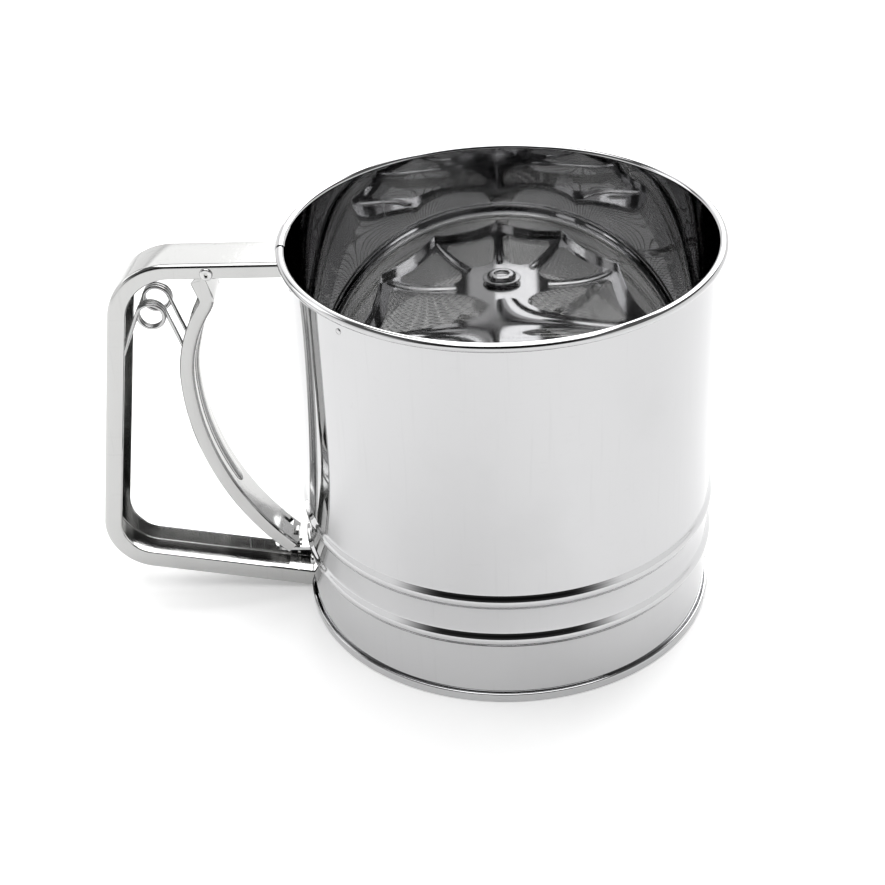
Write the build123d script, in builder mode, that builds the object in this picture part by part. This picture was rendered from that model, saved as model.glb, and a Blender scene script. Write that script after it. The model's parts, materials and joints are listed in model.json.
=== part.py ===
"""Hand sifter: a sheet-steel cup, a channel handle and a squeeze trigger.

The trigger pulls a flat link through the cup wall. The link turns a crank under the
screen, and the crank swings a six-spoked wheel that rubs flour through the mesh.

Frame: origin at the centre of the cup's base, +Z up, handle towards -X. Millimetres.
"""

from build123d import *
from math import acos, asin, atan2, cos, degrees, hypot, radians, sin, tan
import os

os.makedirs("parts", exist_ok=True)

# ---------------------------------------------------------------- driving dimensions
cup_radius = 55.0  # outside of the wall
cup_height = 107.2  # floor to the top of the rolled rim
sheet = 0.4  # body sheet

rim_curl_radius = 1.2  # outside radius of the rolled rim
rim_curl_sweep = 303.0  # degrees that the sheet turns round its wire
wire_gap = 0.03  # between the rim wire and the curl
hem_height = 2.6  # folded hem at the base
hem_depth = 1.4
hem_corner = 0.45
hem_slit = 0.15

bead_height = 4.0  # two beads pressed outwards
bead_depth = 1.0
lower_bead_z = 20.0
upper_bead_z = 32.0

pip_radius = 0.8  # locking pips under the rim, each side of the handle
pip_height = 0.3
pip_drop = 5.4  # below the rim's top
pip_angles = (19.0, 46.0)

seam_lap_angle = 12.0  # degrees of rim where the curl overlaps itself
seam_past_handle = 5.0  # degrees from the handle's middle to the lap's far end
seam_lap_thickness = 0.25
seam_lap_start = 150.0  # degrees round the curl's section where the lap starts
seam_lap_sweep = 240.0

handle_width = 13.5
handle_sheet = 0.8
handle_bend = 1.2  # outside radius of the channel's bends
handle_drop = 4.1  # top bar below the rim's top
handle_top_reach = 44.9  # wall to where the top bar and the grip bar would cross
handle_low_reach = 59.2  # wall to where the grip bar and the low bar would cross
handle_low_z = 9.9  # height of that crossing
handle_foot_z = 0.3  # low bar's underside at the wall
handle_top_radius = 17.5
handle_low_radius = 14.0
handle_overrun = 2.0  # drawn past the wall, then cut back to it
flange_top = 4.1  # depth of the channel's flanges
flange_grip = 4.9
flange_low = 5.2
window_top_radius = 11.0
window_low_radius = 10.0

trigger_width = 11.0
trigger_sheet = 0.8
trigger_flange = 3.8
pivot_reach = 19.8  # wall to the trigger's pivot
pivot_drop = 2.7  # pivot below the top bar's upper face
ear_radius = 1.6
kink_reach = 18.4
kink_drop = 9.4  # kink below the pivot
belly_reach = 26.6
belly_drop = 32.9
trigger_end_reach = 3.9  # wall to the web's lower end
trigger_end_rise = 3.7  # web's lower end above the link
tongue_width = 2.4
tongue_tail = 2.5  # tongue below the link's middle
rib_width = 3.6
rib_height = 0.5
rib_low_turn = 26.5  # degrees round the lower arc
rib_end_radius = 1.9
rib_end_height = 0.8
trigger_window_width = 2.4
trigger_window_length = 4.2
trigger_window_turn = 42.4
trigger_window_y = 2.8
trigger_end_slope = 0.3
web_top = (1.0, 2.1)  # web's top end, outward of the pivot and below it
trigger_travel = 12.0  # degrees

rivet_radius = 1.0
rivet_bore = 0.55
rivet_head_radius = 1.7
rivet_head = 0.6
head_rounding = 0.7  # share of a head's height that its edge is rounded by
running_gap = 0.05

spring_wire = 1.0
spring_radius = 3.5  # to the wire's middle
spring_pitch = 1.1
spring_turns = 2  # whole turns besides the part turn between the legs
spring_reach = 35.8
spring_drop = 15.1  # below the top bar's upper face
spring_inner_y = 3.5  # where each coil starts
grip_leg_y = 4.0
spring_seat_gap = 0.2  # wire to the sheet that it bears on
grip_leg_drop = 21.5  # leg ends below the coil's middle
trigger_leg_drop = 14.0

link_z = 10.7
link_thickness = 1.0
link_width = 5.4
link_reach = 11.0  # wall to the link's outer end
yoke_width = 10.0
yoke_length = 24.0
yoke_corner = 2.7
tongue_clearance = 0.45  # round the tongue in the link's slot
slot_clearance = 0.6  # round the link in the wall's slot
slot_plate_width = 20.0
slot_plate_height = 9.0
slot_plate_sheet = 0.6
plate_rivet_radius = 1.0
plate_rivet_y = 7.4
plate_rivet_head_radius = 1.7
plate_rivet_head = 0.6
plate_rivet_tail = 0.5  # past the plate, inside

crank_radius = 19.0
crank_thickness = 1.2
crank_width = 7.0
crank_eye_radius = 4.9  # round the shaft
crank_gap = 2.2  # link's upper face to the crank
crank_pin_radius = 1.5
crank_pin_head_radius = 2.4
crank_pin_clearance = 0.5
clip_radius = 3.0
clip_thickness = 0.8
clip_gap = 0.4

shaft_radius = 2.5
shaft_foot_radius = 3.4
shaft_foot = 0.8
shaft_head_radius = 3.9
shaft_head = 1.6
shaft_recess_radius = 2.0
shaft_recess = 1.0

mesh_z = 27.8  # middle of the mesh, just under the upper bead
mesh_thickness = 0.5
hoop_width = 1.9
hoop_height = 1.5
hoop_gap = 0.05  # hoop to wall
hoop_corner = 0.6
hoop_wire_radius = 0.95  # lower hoop
bushing_radius = 3.7
bushing_flange_radius = 5.6
bushing_flange = 0.5
screen_washer_radius = 6.5
screen_washer = 0.6
cross_bar_width = 9.0
cross_bar_eye_radius = 8.3  # round the bushing
cross_bar_sheet = 1.2
cross_bar_grip = 0.7  # how far its ends reach into the lower bead
bushing_ring_radius = 5.2
bushing_ring = 1.0
thrust_washer_radius = 5.0
thrust_washer = 0.8
washer_edge = 0.2  # largest chamfer on a ring
axial_gap = 0.3

spokes = 6
wheel_radius = 42.5  # to the corners
wheel_sheet = 0.6
wheel_rim_width = 5.0
wheel_edge_height = 2.6
wheel_spoke_width = 4.8
wheel_hub_fillet = 7.0
wheel_corner_fillet = 3.0
wheel_rib_radius = 1.5
wheel_rib_height = 0.9
wheel_rest_angle = 4.0
collar_radius = 4.15
collar_height = 1.0
hub_washer_radius = 5.1
hub_washer = 0.8

bracket_reach = 7.8  # low bracket's outer end from the wall
bracket_sheet = 0.6
bracket_height = 3.6

# ---------------------------------------------------------------- worked out from them
inner_radius = cup_radius - sheet
curl_centre = inner_radius + rim_curl_radius
curl_z = cup_height - rim_curl_radius
handle_top_z = cup_height - handle_drop
handle_inner = handle_width / 2 - handle_sheet

pivot_x = cup_radius + pivot_reach
pivot_z = handle_top_z - pivot_drop
kink = (cup_radius + kink_reach, pivot_z - kink_drop)
belly = (cup_radius + belly_reach, pivot_z - belly_drop)
trigger_end = (cup_radius + trigger_end_reach, link_z + trigger_end_rise)
tongue_x = trigger_end[0] + trigger_sheet / 2

link_top = link_z + link_thickness / 2
link_bottom = link_z - link_thickness / 2
crank_bottom = link_top + crank_gap
crank_top = crank_bottom + crank_thickness
thrust_bottom = crank_top + axial_gap
bushing_bottom = thrust_bottom + thrust_washer + axial_gap
mesh_top = mesh_z + mesh_thickness / 2
mesh_bottom = mesh_z - mesh_thickness / 2
bushing_top = mesh_top + bushing_flange
half_step = 180 / spokes  # degrees from a spoke to the middle of the next window
wheel_bottom = bushing_top + axial_gap
wheel_top = wheel_bottom + wheel_sheet
collar_top = wheel_top + collar_height
hub_washer_top = collar_top + hub_washer
cross_bar_bottom = lower_bead_z - cross_bar_sheet / 2


def link_travel(turn):
    """How far the tongue has carried the link when the trigger has turned, degrees."""
    across = tongue_x - pivot_x
    down = (link_z - pivot_z - across * sin(radians(turn))) / cos(radians(turn))
    return across * cos(radians(turn)) - down * sin(radians(turn)) - across


link_stroke = link_travel(trigger_travel)
crank_swing = degrees(asin(link_stroke / 2 / crank_radius))
crank_rest_angle = 90 - crank_swing
crank_pin_x = crank_radius * cos(radians(crank_rest_angle))
crank_pin_y = crank_radius * sin(radians(crank_rest_angle))

# Side view: local x runs out along the handle, local y runs up.
side_plane = Plane(origin=(0, 0, 0), x_dir=(-1, 0, 0), z_dir=(0, 1, 0))


def out(reach, y, z):
    """A point at a distance out along the handle, as a place in the frame."""
    return (-reach, y, z)


def save(piece, name):
    piece.part.label = name
    export_step(piece.part, f"parts/{name}.step")


# ---------------------------------------------------------------- cup
def bead_band(z, inset):
    """One arc of a bead's section, moved in from the wall's outside by inset."""
    half = bead_height / 2
    wall = cup_radius - inset
    return ThreePointArc((wall, z - half), (wall + bead_depth, z), (wall, z + half))


with BuildPart() as cup_body:
    with BuildSketch(Plane.XZ):
        with Locations((inner_radius, hem_height / 2)):
            Rectangle(sheet, curl_z - hem_height / 2, align=(Align.MIN, Align.MIN))
        for bead_z in (lower_bead_z, upper_bead_z):
            with Locations((cup_radius - sheet / 2, bead_z)):
                Rectangle(2 * sheet, bead_height, mode=Mode.SUBTRACT)
            with BuildLine():
                outer = bead_band(bead_z, 0)
                inner = bead_band(bead_z, sheet)
                Line(outer @ 0, inner @ 0)
                Line(outer @ 1, inner @ 1)
            make_face()
        with BuildLine():
            outer = CenterArc((curl_centre, curl_z), rim_curl_radius, 180, -rim_curl_sweep)
            inner = CenterArc((curl_centre, curl_z), rim_curl_radius - sheet, 180, -rim_curl_sweep)
            Line(outer @ 0, inner @ 0)
            Line(outer @ 1, inner @ 1)
        make_face()
        with Locations((inner_radius + hem_depth / 2, hem_height / 2)):
            RectangleRounded(hem_depth, hem_height, hem_corner)
            RectangleRounded(
                hem_depth - 2 * sheet,
                hem_height - 2 * sheet,
                (hem_depth - 2 * sheet) / 3,
                mode=Mode.SUBTRACT,
            )
        with Locations((cup_radius + hem_slit / 2, hem_height - sheet / 2)):
            Rectangle(hem_slit, 2 * sheet, mode=Mode.SUBTRACT)
    revolve(axis=Axis.Z)
    # the slot that the link slides in
    with Locations(out(cup_radius, 0, link_z)):
        Box(
            6 * sheet,
            link_width + 2 * slot_clearance,
            link_thickness + 2 * slot_clearance,
            mode=Mode.SUBTRACT,
        )
    # rivet holes for the plate behind that slot
    with Locations(
        Plane(origin=out(cup_radius, -plate_rivet_y, link_z), z_dir=(-1, 0, 0)),
        Plane(origin=out(cup_radius, plate_rivet_y, link_z), z_dir=(-1, 0, 0)),
    ):
        Cylinder(plate_rivet_radius, 6 * sheet, mode=Mode.SUBTRACT)
    # locking pips under the rim
    for angle in pip_angles:
        for turn in (180 - angle, 180 + angle):
            direction = (cos(radians(turn)), sin(radians(turn)), 0)
            with Locations(
                Plane(
                    origin=(
                        (cup_radius - sheet / 2) * direction[0],
                        (cup_radius - sheet / 2) * direction[1],
                        cup_height - pip_drop,
                    ),
                    z_dir=direction,
                )
            ):
                Cylinder(
                    pip_radius,
                    sheet / 2 + pip_height,
                    align=(Align.CENTER, Align.CENTER, Align.MIN),
                )
save(cup_body, "cup_body")

# the short stretch behind the handle where the rim's curl overlaps itself
lap_start = 180 + seam_past_handle - seam_lap_angle
with BuildPart() as rim_seam_lap:
    with BuildSketch(
        Plane(
            origin=(0, 0, 0),
            x_dir=(cos(radians(lap_start)), sin(radians(lap_start)), 0),
            z_dir=(sin(radians(lap_start)), -cos(radians(lap_start)), 0),
        )
    ):
        with BuildLine():
            curl_middle = (curl_centre, curl_z)
            lap_radius = rim_curl_radius + seam_lap_thickness
            outer = CenterArc(curl_middle, lap_radius, seam_lap_start, -seam_lap_sweep)
            inner = CenterArc(curl_middle, rim_curl_radius, seam_lap_start, -seam_lap_sweep)
            Line(outer @ 0, inner @ 0)
            Line(outer @ 1, inner @ 1)
        make_face()
    revolve(axis=Axis.Z, revolution_arc=seam_lap_angle)
save(rim_seam_lap, "rim_seam_lap")

with BuildPart() as rim_wire:
    with BuildSketch(Plane.XZ):
        with Locations((curl_centre, curl_z)):
            Circle(rim_curl_radius - sheet - wire_gap)
    revolve(axis=Axis.Z)
save(rim_wire, "rim_wire")

# ---------------------------------------------------------------- handle
handle_corner_top = (cup_radius + handle_top_reach, handle_top_z)
handle_corner_low = (cup_radius + handle_low_reach, handle_low_z)
handle_foot = (cup_radius, handle_foot_z)


def moved_in(start, end, depth):
    """The line from start to end, moved sideways by depth, as a point and a direction."""
    length = hypot(end[0] - start[0], end[1] - start[1])
    along = ((end[0] - start[0]) / length, (end[1] - start[1]) / length)
    return (start[0] + along[1] * depth, start[1] - along[0] * depth), along


def crossing(first, second):
    """Where two such lines cross."""
    (ax, az), (au, aw) = first
    (bx, bz), (bu, bw) = second
    t = ((bx - ax) * bw - (bz - az) * bu) / (au * bw - aw * bu)
    return (ax + au * t, az + aw * t)


top_start = (0, handle_top_z)
top_edge = moved_in(top_start, handle_corner_top, flange_top)
grip_edge = moved_in(handle_corner_top, handle_corner_low, flange_grip)
low_edge = moved_in(handle_corner_low, handle_foot, flange_low)
window_top = crossing(top_edge, grip_edge)
window_low = crossing(grip_edge, low_edge)
low_slope = (handle_low_z - handle_foot_z) / handle_low_reach

with BuildPart() as handle_channel:
    with BuildLine(side_plane) as handle_path:
        FilletPolyline(
            (cup_radius - handle_overrun, handle_top_z),
            handle_corner_top,
            handle_corner_low,
            (cup_radius - handle_overrun, handle_foot_z - handle_overrun * low_slope),
            radius=(handle_top_radius, handle_low_radius),
        )
    flange_deepest = max(flange_top, flange_grip, flange_low) + handle_sheet
    with BuildSketch(
        Plane(
            origin=out(cup_radius - handle_overrun, 0, handle_top_z),
            x_dir=(0, -1, 0),
            z_dir=(-1, 0, 0),
        )
    ) as channel_section:
        with BuildLine():
            Polyline(
                (-handle_width / 2, -flange_deepest),
                (-handle_width / 2, 0),
                (handle_width / 2, 0),
                (handle_width / 2, -flange_deepest),
                (handle_inner, -flange_deepest),
                (handle_inner, -handle_sheet),
                (-handle_inner, -handle_sheet),
                (-handle_inner, -flange_deepest),
                close=True,
            )
        make_face()
        fillet(channel_section.vertices().group_by(Axis.Y)[-1], handle_bend)
    sweep(path=handle_path.line)
    # trim the flanges to their depth along each bar
    with BuildSketch(side_plane):
        with BuildLine():
            inside_wall = cup_radius - 2 * handle_overrun
            low_inside_z = window_low[1] - (window_low[0] - inside_wall) * low_slope
            FilletPolyline(
                (inside_wall, window_top[1]),
                window_top,
                window_low,
                (inside_wall, low_inside_z),
                radius=(window_top_radius, window_low_radius),
            )
            Line((inside_wall, low_inside_z), (inside_wall, window_top[1]))
        make_face()
    extrude(amount=handle_width, both=True, mode=Mode.SUBTRACT)
    # end both bars at the wall, and clear the hem
    Cylinder(cup_radius, 3 * cup_height, mode=Mode.SUBTRACT)
    Cylinder(inner_radius + hem_depth, 2 * hem_height, mode=Mode.SUBTRACT)
    with Locations(Plane(origin=out(pivot_x, 0, pivot_z), z_dir=(0, 1, 0))):
        Cylinder(rivet_radius, 2 * handle_width, mode=Mode.SUBTRACT)
save(handle_channel, "handle_channel")

# a lining in the low bar's end, riveted to the wall, that the link slides above
with BuildPart() as low_bracket:
    with BuildSketch(side_plane):
        with BuildLine():
            foot_inner_z = handle_foot_z + handle_sheet / cos(atan2(low_slope, 1))
            bracket_end_z = foot_inner_z + bracket_reach * low_slope
            Polyline(
                (cup_radius, foot_inner_z),
                (cup_radius + bracket_reach, bracket_end_z),
                (cup_radius + bracket_reach, bracket_end_z + bracket_height),
                (cup_radius, foot_inner_z + bracket_height),
                close=True,
            )
        make_face()
    extrude(amount=handle_inner, both=True)
    with BuildSketch(side_plane):
        with BuildLine():
            Polyline(
                (cup_radius, foot_inner_z + bracket_sheet),
                (cup_radius + bracket_reach, bracket_end_z + bracket_sheet),
                (cup_radius + bracket_reach, bracket_end_z + 2 * bracket_height),
                (cup_radius, foot_inner_z + 2 * bracket_height),
                close=True,
            )
        make_face()
    extrude(amount=handle_inner - bracket_sheet, both=True, mode=Mode.SUBTRACT)
    Cylinder(cup_radius, 3 * cup_height, mode=Mode.SUBTRACT)
    Cylinder(inner_radius + hem_depth, 2 * hem_height, mode=Mode.SUBTRACT)
save(low_bracket, "low_bracket")

with BuildPart() as trigger_pivot:
    with Locations(Plane(origin=out(pivot_x, 0, pivot_z), z_dir=(0, 1, 0))):
        Cylinder(rivet_radius, handle_width)
    for side in (-1, 1):
        with Locations(Plane(origin=out(pivot_x, side * handle_width / 2, pivot_z), z_dir=(0, side, 0))):
            Cylinder(rivet_head_radius, rivet_head, align=(Align.CENTER, Align.CENTER, Align.MIN))
    for face_edges in (
        trigger_pivot.edges().group_by(Axis.Y)[0],
        trigger_pivot.edges().group_by(Axis.Y)[-1],
    ):
        fillet(face_edges.sort_by(SortBy.RADIUS)[-1], rivet_head * head_rounding)
    with Locations(Plane(origin=out(pivot_x, 0, pivot_z), z_dir=(0, 1, 0))):
        Cylinder(rivet_bore, 2 * handle_width, mode=Mode.SUBTRACT)
save(trigger_pivot, "trigger_pivot")

# ---------------------------------------------------------------- trigger
lower_arc_radius = ((belly[0] - trigger_end[0]) ** 2 + (belly[1] - trigger_end[1]) ** 2) / (
    2 * (belly[0] - trigger_end[0])
)
lower_arc_centre = (belly[0] - lower_arc_radius, belly[1])


def on_lower_arc(turn, rise):
    """A point on the trigger's lower arc, turn degrees below the belly, rise above its web."""
    radius = lower_arc_radius - rise
    return (
        lower_arc_centre[0] + radius * cos(radians(turn)),
        lower_arc_centre[1] - radius * sin(radians(turn)),
    )


web_start = (pivot_x + web_top[0], pivot_z - web_top[1])
web_lean = hypot(web_start[0] - kink[0], web_start[1] - kink[1])
web_normal = ((web_start[1] - kink[1]) / web_lean, -(web_start[0] - kink[0]) / web_lean)
flange_start = (
    web_start[0] + web_normal[0] * trigger_flange,
    web_start[1] + web_normal[1] * trigger_flange,
)


def draw_web():
    """The web's cup side: a short lean, a tight arc round to the belly, then one long arc down."""
    Line(web_start, kink)
    TangentArc(belly, kink, tangent=(0, 1))
    TangentArc(belly, trigger_end, tangent=(0, -1))


with BuildPart() as trigger:
    with BuildSketch(side_plane):
        with BuildLine():
            draw_web()
            offset(amount=trigger_flange, side=Side.LEFT)
        make_face()
    extrude(amount=trigger_width / 2, both=True)
    # ears that reach up into the top bar
    with BuildSketch(side_plane):
        with Locations((pivot_x, pivot_z)):
            Circle(ear_radius)
        with BuildLine():
            Polyline(web_start, flange_start, kink, close=True)
        make_face()
        make_hull()
    extrude(amount=trigger_width / 2, both=True)
    # hollow the channel between its flanges, and part the ears
    with BuildSketch(side_plane):
        with BuildLine():
            draw_web()
            offset(amount=2 * trigger_flange, side=Side.LEFT)
        make_face()
        with BuildLine():
            draw_web()
            offset(amount=trigger_sheet, side=Side.LEFT)
        make_face(mode=Mode.SUBTRACT)
        with Locations(web_start):
            Rectangle(6 * ear_radius, 4 * ear_radius, align=(Align.CENTER, Align.MIN))
    extrude(amount=trigger_width / 2 - trigger_sheet, both=True, mode=Mode.SUBTRACT)
    # lower end, cut nearly level
    with BuildSketch(side_plane):
        with BuildLine():
            run = 4 * trigger_flange
            Polyline(
                (trigger_end[0] - run, trigger_end[1] - run * trigger_end_slope),
                (trigger_end[0] + run, trigger_end[1] + run * trigger_end_slope),
                (trigger_end[0] + run, trigger_end[1] - run),
                (trigger_end[0] - run, trigger_end[1] - run),
                close=True,
            )
        make_face()
    extrude(amount=trigger_width, both=True, mode=Mode.SUBTRACT)
    # tongue that drops through the link
    tongue_top = trigger_end[1] + trigger_sheet / 2
    with BuildSketch(side_plane):
        with Locations((tongue_x, tongue_top)):
            Rectangle(
                trigger_sheet,
                tongue_top - link_z + tongue_tail,
                align=(Align.CENTER, Align.MAX),
            )
    extrude(amount=tongue_width / 2, both=True)
    # pressed rib down the web, and the round boss that ends it
    with BuildSketch(side_plane):
        with BuildLine():
            rib_skin = CenterArc(lower_arc_centre, lower_arc_radius - rib_height, -rib_low_turn, rib_low_turn)
            rib_root = CenterArc(
                lower_arc_centre, lower_arc_radius + trigger_sheet / 2, -rib_low_turn, rib_low_turn
            )
            Line(rib_skin @ 0, rib_root @ 0)
            Line(rib_skin @ 1, rib_root @ 1)
        make_face()
    extrude(amount=rib_width / 2, both=True)
    boss = on_lower_arc(rib_low_turn, 0)
    with Locations(
        Plane(
            origin=out(boss[0], 0, boss[1]),
            z_dir=(cos(radians(rib_low_turn)), 0, sin(radians(rib_low_turn))),
        )
    ):
        Cylinder(rib_end_radius, rib_end_height, align=(Align.CENTER, Align.CENTER, Align.MIN))
    # window beside the tongue
    window = on_lower_arc(trigger_window_turn, 0)
    with Locations(
        Plane(
            origin=out(window[0], trigger_window_y, window[1]),
            x_dir=(0, 1, 0),
            z_dir=(cos(radians(trigger_window_turn)), 0, sin(radians(trigger_window_turn))),
        )
    ):
        Box(trigger_window_width, trigger_window_length, 4 * trigger_sheet, mode=Mode.SUBTRACT)
    with Locations(Plane(origin=out(pivot_x, 0, pivot_z), z_dir=(0, 1, 0))):
        Cylinder(rivet_radius + running_gap, 2 * trigger_width, mode=Mode.SUBTRACT)
save(trigger, "trigger")

# ---------------------------------------------------------------- return spring
spring_x = cup_radius + spring_reach
spring_z = handle_top_z - spring_drop


def leg_angle(target, side):
    """Where on the coil a straight leg to a point leaves it, degrees in the side view."""
    across = target[0] - spring_x
    up = target[1] - spring_z
    return degrees(atan2(up, across)) + side * degrees(acos(spring_radius / hypot(across, up)))


grip_leg_z = spring_z - grip_leg_drop
grip_slope = (handle_low_reach - handle_top_reach) / (handle_top_z - handle_low_z)
grip_leg_x = cup_radius + handle_top_reach + (handle_top_z - grip_leg_z) * grip_slope
seat_offset = spring_seat_gap + spring_wire / 2
grip_leg_end = (grip_leg_x - handle_sheet / cos(atan2(grip_slope, 1)) - seat_offset, grip_leg_z)
trigger_leg_z = spring_z - trigger_leg_drop
upper_arc_radius = (
    (belly[0] - kink[0]) ** 2 + (kink[1] - belly[1]) ** 2
) / (2 * (belly[0] - kink[0]))
trigger_leg_x = belly[0] - upper_arc_radius + (upper_arc_radius**2 - (trigger_leg_z - belly[1]) ** 2) ** 0.5
trigger_leg_end = (trigger_leg_x + trigger_sheet + seat_offset, trigger_leg_z)

coil_start = leg_angle(trigger_leg_end, -1) % 360
coil_end = leg_angle(grip_leg_end, 1) % 360
coil_turns = spring_turns + (coil_start - coil_end) / 360
coil_height = coil_turns * spring_pitch


def on_coil(angle, y):
    """A point on the coil's middle line, as a place in the frame."""
    return out(
        spring_x + spring_radius * cos(radians(angle)),
        y,
        spring_z + spring_radius * sin(radians(angle)),
    )


with BuildPart() as return_spring:
    for side in (-1, 1):
        inner_y = side * spring_inner_y
        outer_y = side * (spring_inner_y + coil_height)
        coil_plane = Plane(
            origin=out(spring_x, inner_y, spring_z),
            x_dir=(-cos(radians(coil_start)), 0, sin(radians(coil_start))),
            z_dir=(0, side, 0),
        )
        with BuildLine(coil_plane) as coil:
            Helix(spring_pitch, coil_height, spring_radius, lefthand=side > 0)
        with BuildSketch(Plane(origin=coil.line @ 0, z_dir=coil.line % 0)):
            Circle(spring_wire / 2)
        sweep(path=coil.line)
        with BuildLine() as trigger_leg:
            Line(on_coil(coil_start, inner_y), out(trigger_leg_end[0], inner_y, trigger_leg_end[1]))
        with BuildSketch(Plane(origin=trigger_leg.line @ 0, z_dir=trigger_leg.line % 0)):
            Circle(spring_wire / 2)
        sweep(path=trigger_leg.line)
        with BuildLine() as grip_leg:
            Line(
                on_coil(coil_end, outer_y),
                out(grip_leg_end[0], side * grip_leg_y, grip_leg_end[1]),
            )
        with BuildSketch(Plane(origin=grip_leg.line @ 0, z_dir=grip_leg.line % 0)):
            Circle(spring_wire / 2)
        sweep(path=grip_leg.line)
        with Locations(
            on_coil(coil_start, inner_y),
            on_coil(coil_end, outer_y),
            out(trigger_leg_end[0], inner_y, trigger_leg_end[1]),
            out(grip_leg_end[0], side * grip_leg_y, grip_leg_end[1]),
        ):
            Sphere(spring_wire / 2)
    with Locations(Plane(origin=out(trigger_leg_end[0], 0, trigger_leg_end[1]), z_dir=(0, 1, 0))):
        Cylinder(spring_wire / 2, 2 * spring_inner_y)
save(return_spring, "return_spring")

# ---------------------------------------------------------------- link and its slot
link_end = cup_radius + link_reach
with BuildPart() as drive_link:
    with BuildSketch(Plane.XY.offset(link_bottom)):
        with Locations((-link_end + link_width / 2, 0)):
            Circle(link_width / 2)
            Rectangle(
                link_end - link_width / 2 + crank_pin_x + yoke_width / 2,
                link_width,
                align=(Align.MIN, Align.CENTER),
            )
        with Locations((crank_pin_x, -link_width / 2)):
            yoke = Rectangle(yoke_width, yoke_length, align=(Align.CENTER, Align.MIN))
        fillet(yoke.vertices().group_by(Axis.Y)[-1], yoke_corner)
        pin_y_middle = (crank_pin_y + crank_radius) / 2
        with Locations((crank_pin_x, pin_y_middle)):
            SlotCenterToCenter(
                crank_radius - crank_pin_y,
                2 * (crank_pin_radius + crank_pin_clearance),
                rotation=90,
                mode=Mode.SUBTRACT,
            )
        with Locations((-tongue_x, 0)):
            Rectangle(
                trigger_sheet + 2 * tongue_clearance,
                tongue_width + 2 * tongue_clearance,
                mode=Mode.SUBTRACT,
            )
    extrude(amount=link_thickness)
save(drive_link, "drive_link")

with BuildPart() as slot_plate:
    with Locations((0, 0, link_z)):
        Cylinder(inner_radius, slot_plate_height)
        Cylinder(inner_radius - slot_plate_sheet, slot_plate_height, mode=Mode.SUBTRACT)
    with Locations(out(cup_radius, 0, link_z)):
        Box(cup_radius, slot_plate_width, slot_plate_height, mode=Mode.INTERSECT)
        Box(
            12 * slot_plate_sheet,
            link_width + 2 * slot_clearance,
            link_thickness + 2 * slot_clearance,
            mode=Mode.SUBTRACT,
        )
    with Locations(
        Plane(origin=out(cup_radius, -plate_rivet_y, link_z), z_dir=(-1, 0, 0)),
        Plane(origin=out(cup_radius, plate_rivet_y, link_z), z_dir=(-1, 0, 0)),
    ):
        Cylinder(plate_rivet_radius, 12 * slot_plate_sheet, mode=Mode.SUBTRACT)
save(slot_plate, "slot_plate")

wall_at_rivet = (cup_radius**2 - plate_rivet_y**2) ** 0.5
with BuildPart() as slot_plate_rivets:
    for side in (-1, 1):
        with Locations(Plane(origin=out(wall_at_rivet, side * plate_rivet_y, link_z), z_dir=(-1, 0, 0))):
            Cylinder(
                plate_rivet_head_radius,
                plate_rivet_head,
                align=(Align.CENTER, Align.CENTER, Align.MIN),
            )
            Cylinder(
                plate_rivet_radius,
                sheet + slot_plate_sheet + plate_rivet_tail,
                align=(Align.CENTER, Align.CENTER, Align.MAX),
            )
    fillet(slot_plate_rivets.edges().group_by(Axis.X)[0], plate_rivet_head * head_rounding)
save(slot_plate_rivets, "slot_plate_rivets")

# ---------------------------------------------------------------- screen
with BuildPart() as screen_hoop_lower:
    with BuildSketch(Plane.XZ):
        with Locations((inner_radius - hoop_gap - hoop_wire_radius, mesh_bottom - hoop_wire_radius)):
            Circle(hoop_wire_radius)
    revolve(axis=Axis.Z)
save(screen_hoop_lower, "screen_hoop_lower")

with BuildPart() as screen_hoop_upper:
    with BuildSketch(Plane.XZ):
        with Locations((inner_radius - hoop_gap, mesh_top)):
            Rectangle(hoop_width, hoop_height, align=(Align.MAX, Align.MIN))
        fillet(vertices().group_by(Axis.Y)[-1], hoop_corner)
    revolve(axis=Axis.Z)
save(screen_hoop_upper, "screen_hoop_upper")

with BuildPart() as mesh_screen:
    with BuildSketch(Plane.XY.offset(mesh_bottom)):
        Circle(inner_radius - hoop_gap)
        Circle(bushing_radius, mode=Mode.SUBTRACT)
    extrude(amount=mesh_thickness)
save(mesh_screen, "mesh_screen")


def ring(name, bottom, height, outer, bore):
    """A flat washer-like piece on the cup's axis, saved under its name."""
    with BuildPart() as piece:
        with BuildSketch(Plane.XY.offset(bottom)):
            Circle(outer)
            Circle(bore, mode=Mode.SUBTRACT)
        extrude(amount=height)
        rims = piece.edges().filter_by(GeomType.CIRCLE).group_by(SortBy.RADIUS)[-1]
        chamfer(rims, min(washer_edge, height / 4))
    save(piece, name)


ring("screen_washer", mesh_bottom - screen_washer, screen_washer, screen_washer_radius, bushing_radius)
ring("bushing_ring", cross_bar_bottom - bushing_ring, bushing_ring, bushing_ring_radius, bushing_radius)
ring("thrust_washer", thrust_bottom, thrust_washer, thrust_washer_radius, shaft_radius + running_gap)
ring("hub_collar", wheel_top, collar_height, collar_radius, shaft_radius)
ring("hub_washer", collar_top, hub_washer, hub_washer_radius, shaft_radius)

with BuildPart() as hub_bushing:
    with BuildSketch(Plane.XY.offset(bushing_bottom)):
        Circle(bushing_radius)
    extrude(amount=bushing_top - bushing_bottom)
    with BuildSketch(Plane.XY.offset(mesh_top)):
        Circle(bushing_flange_radius)
    extrude(amount=bushing_flange)
    Cylinder(shaft_radius + running_gap, 4 * bushing_top, mode=Mode.SUBTRACT)
save(hub_bushing, "hub_bushing")

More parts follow.
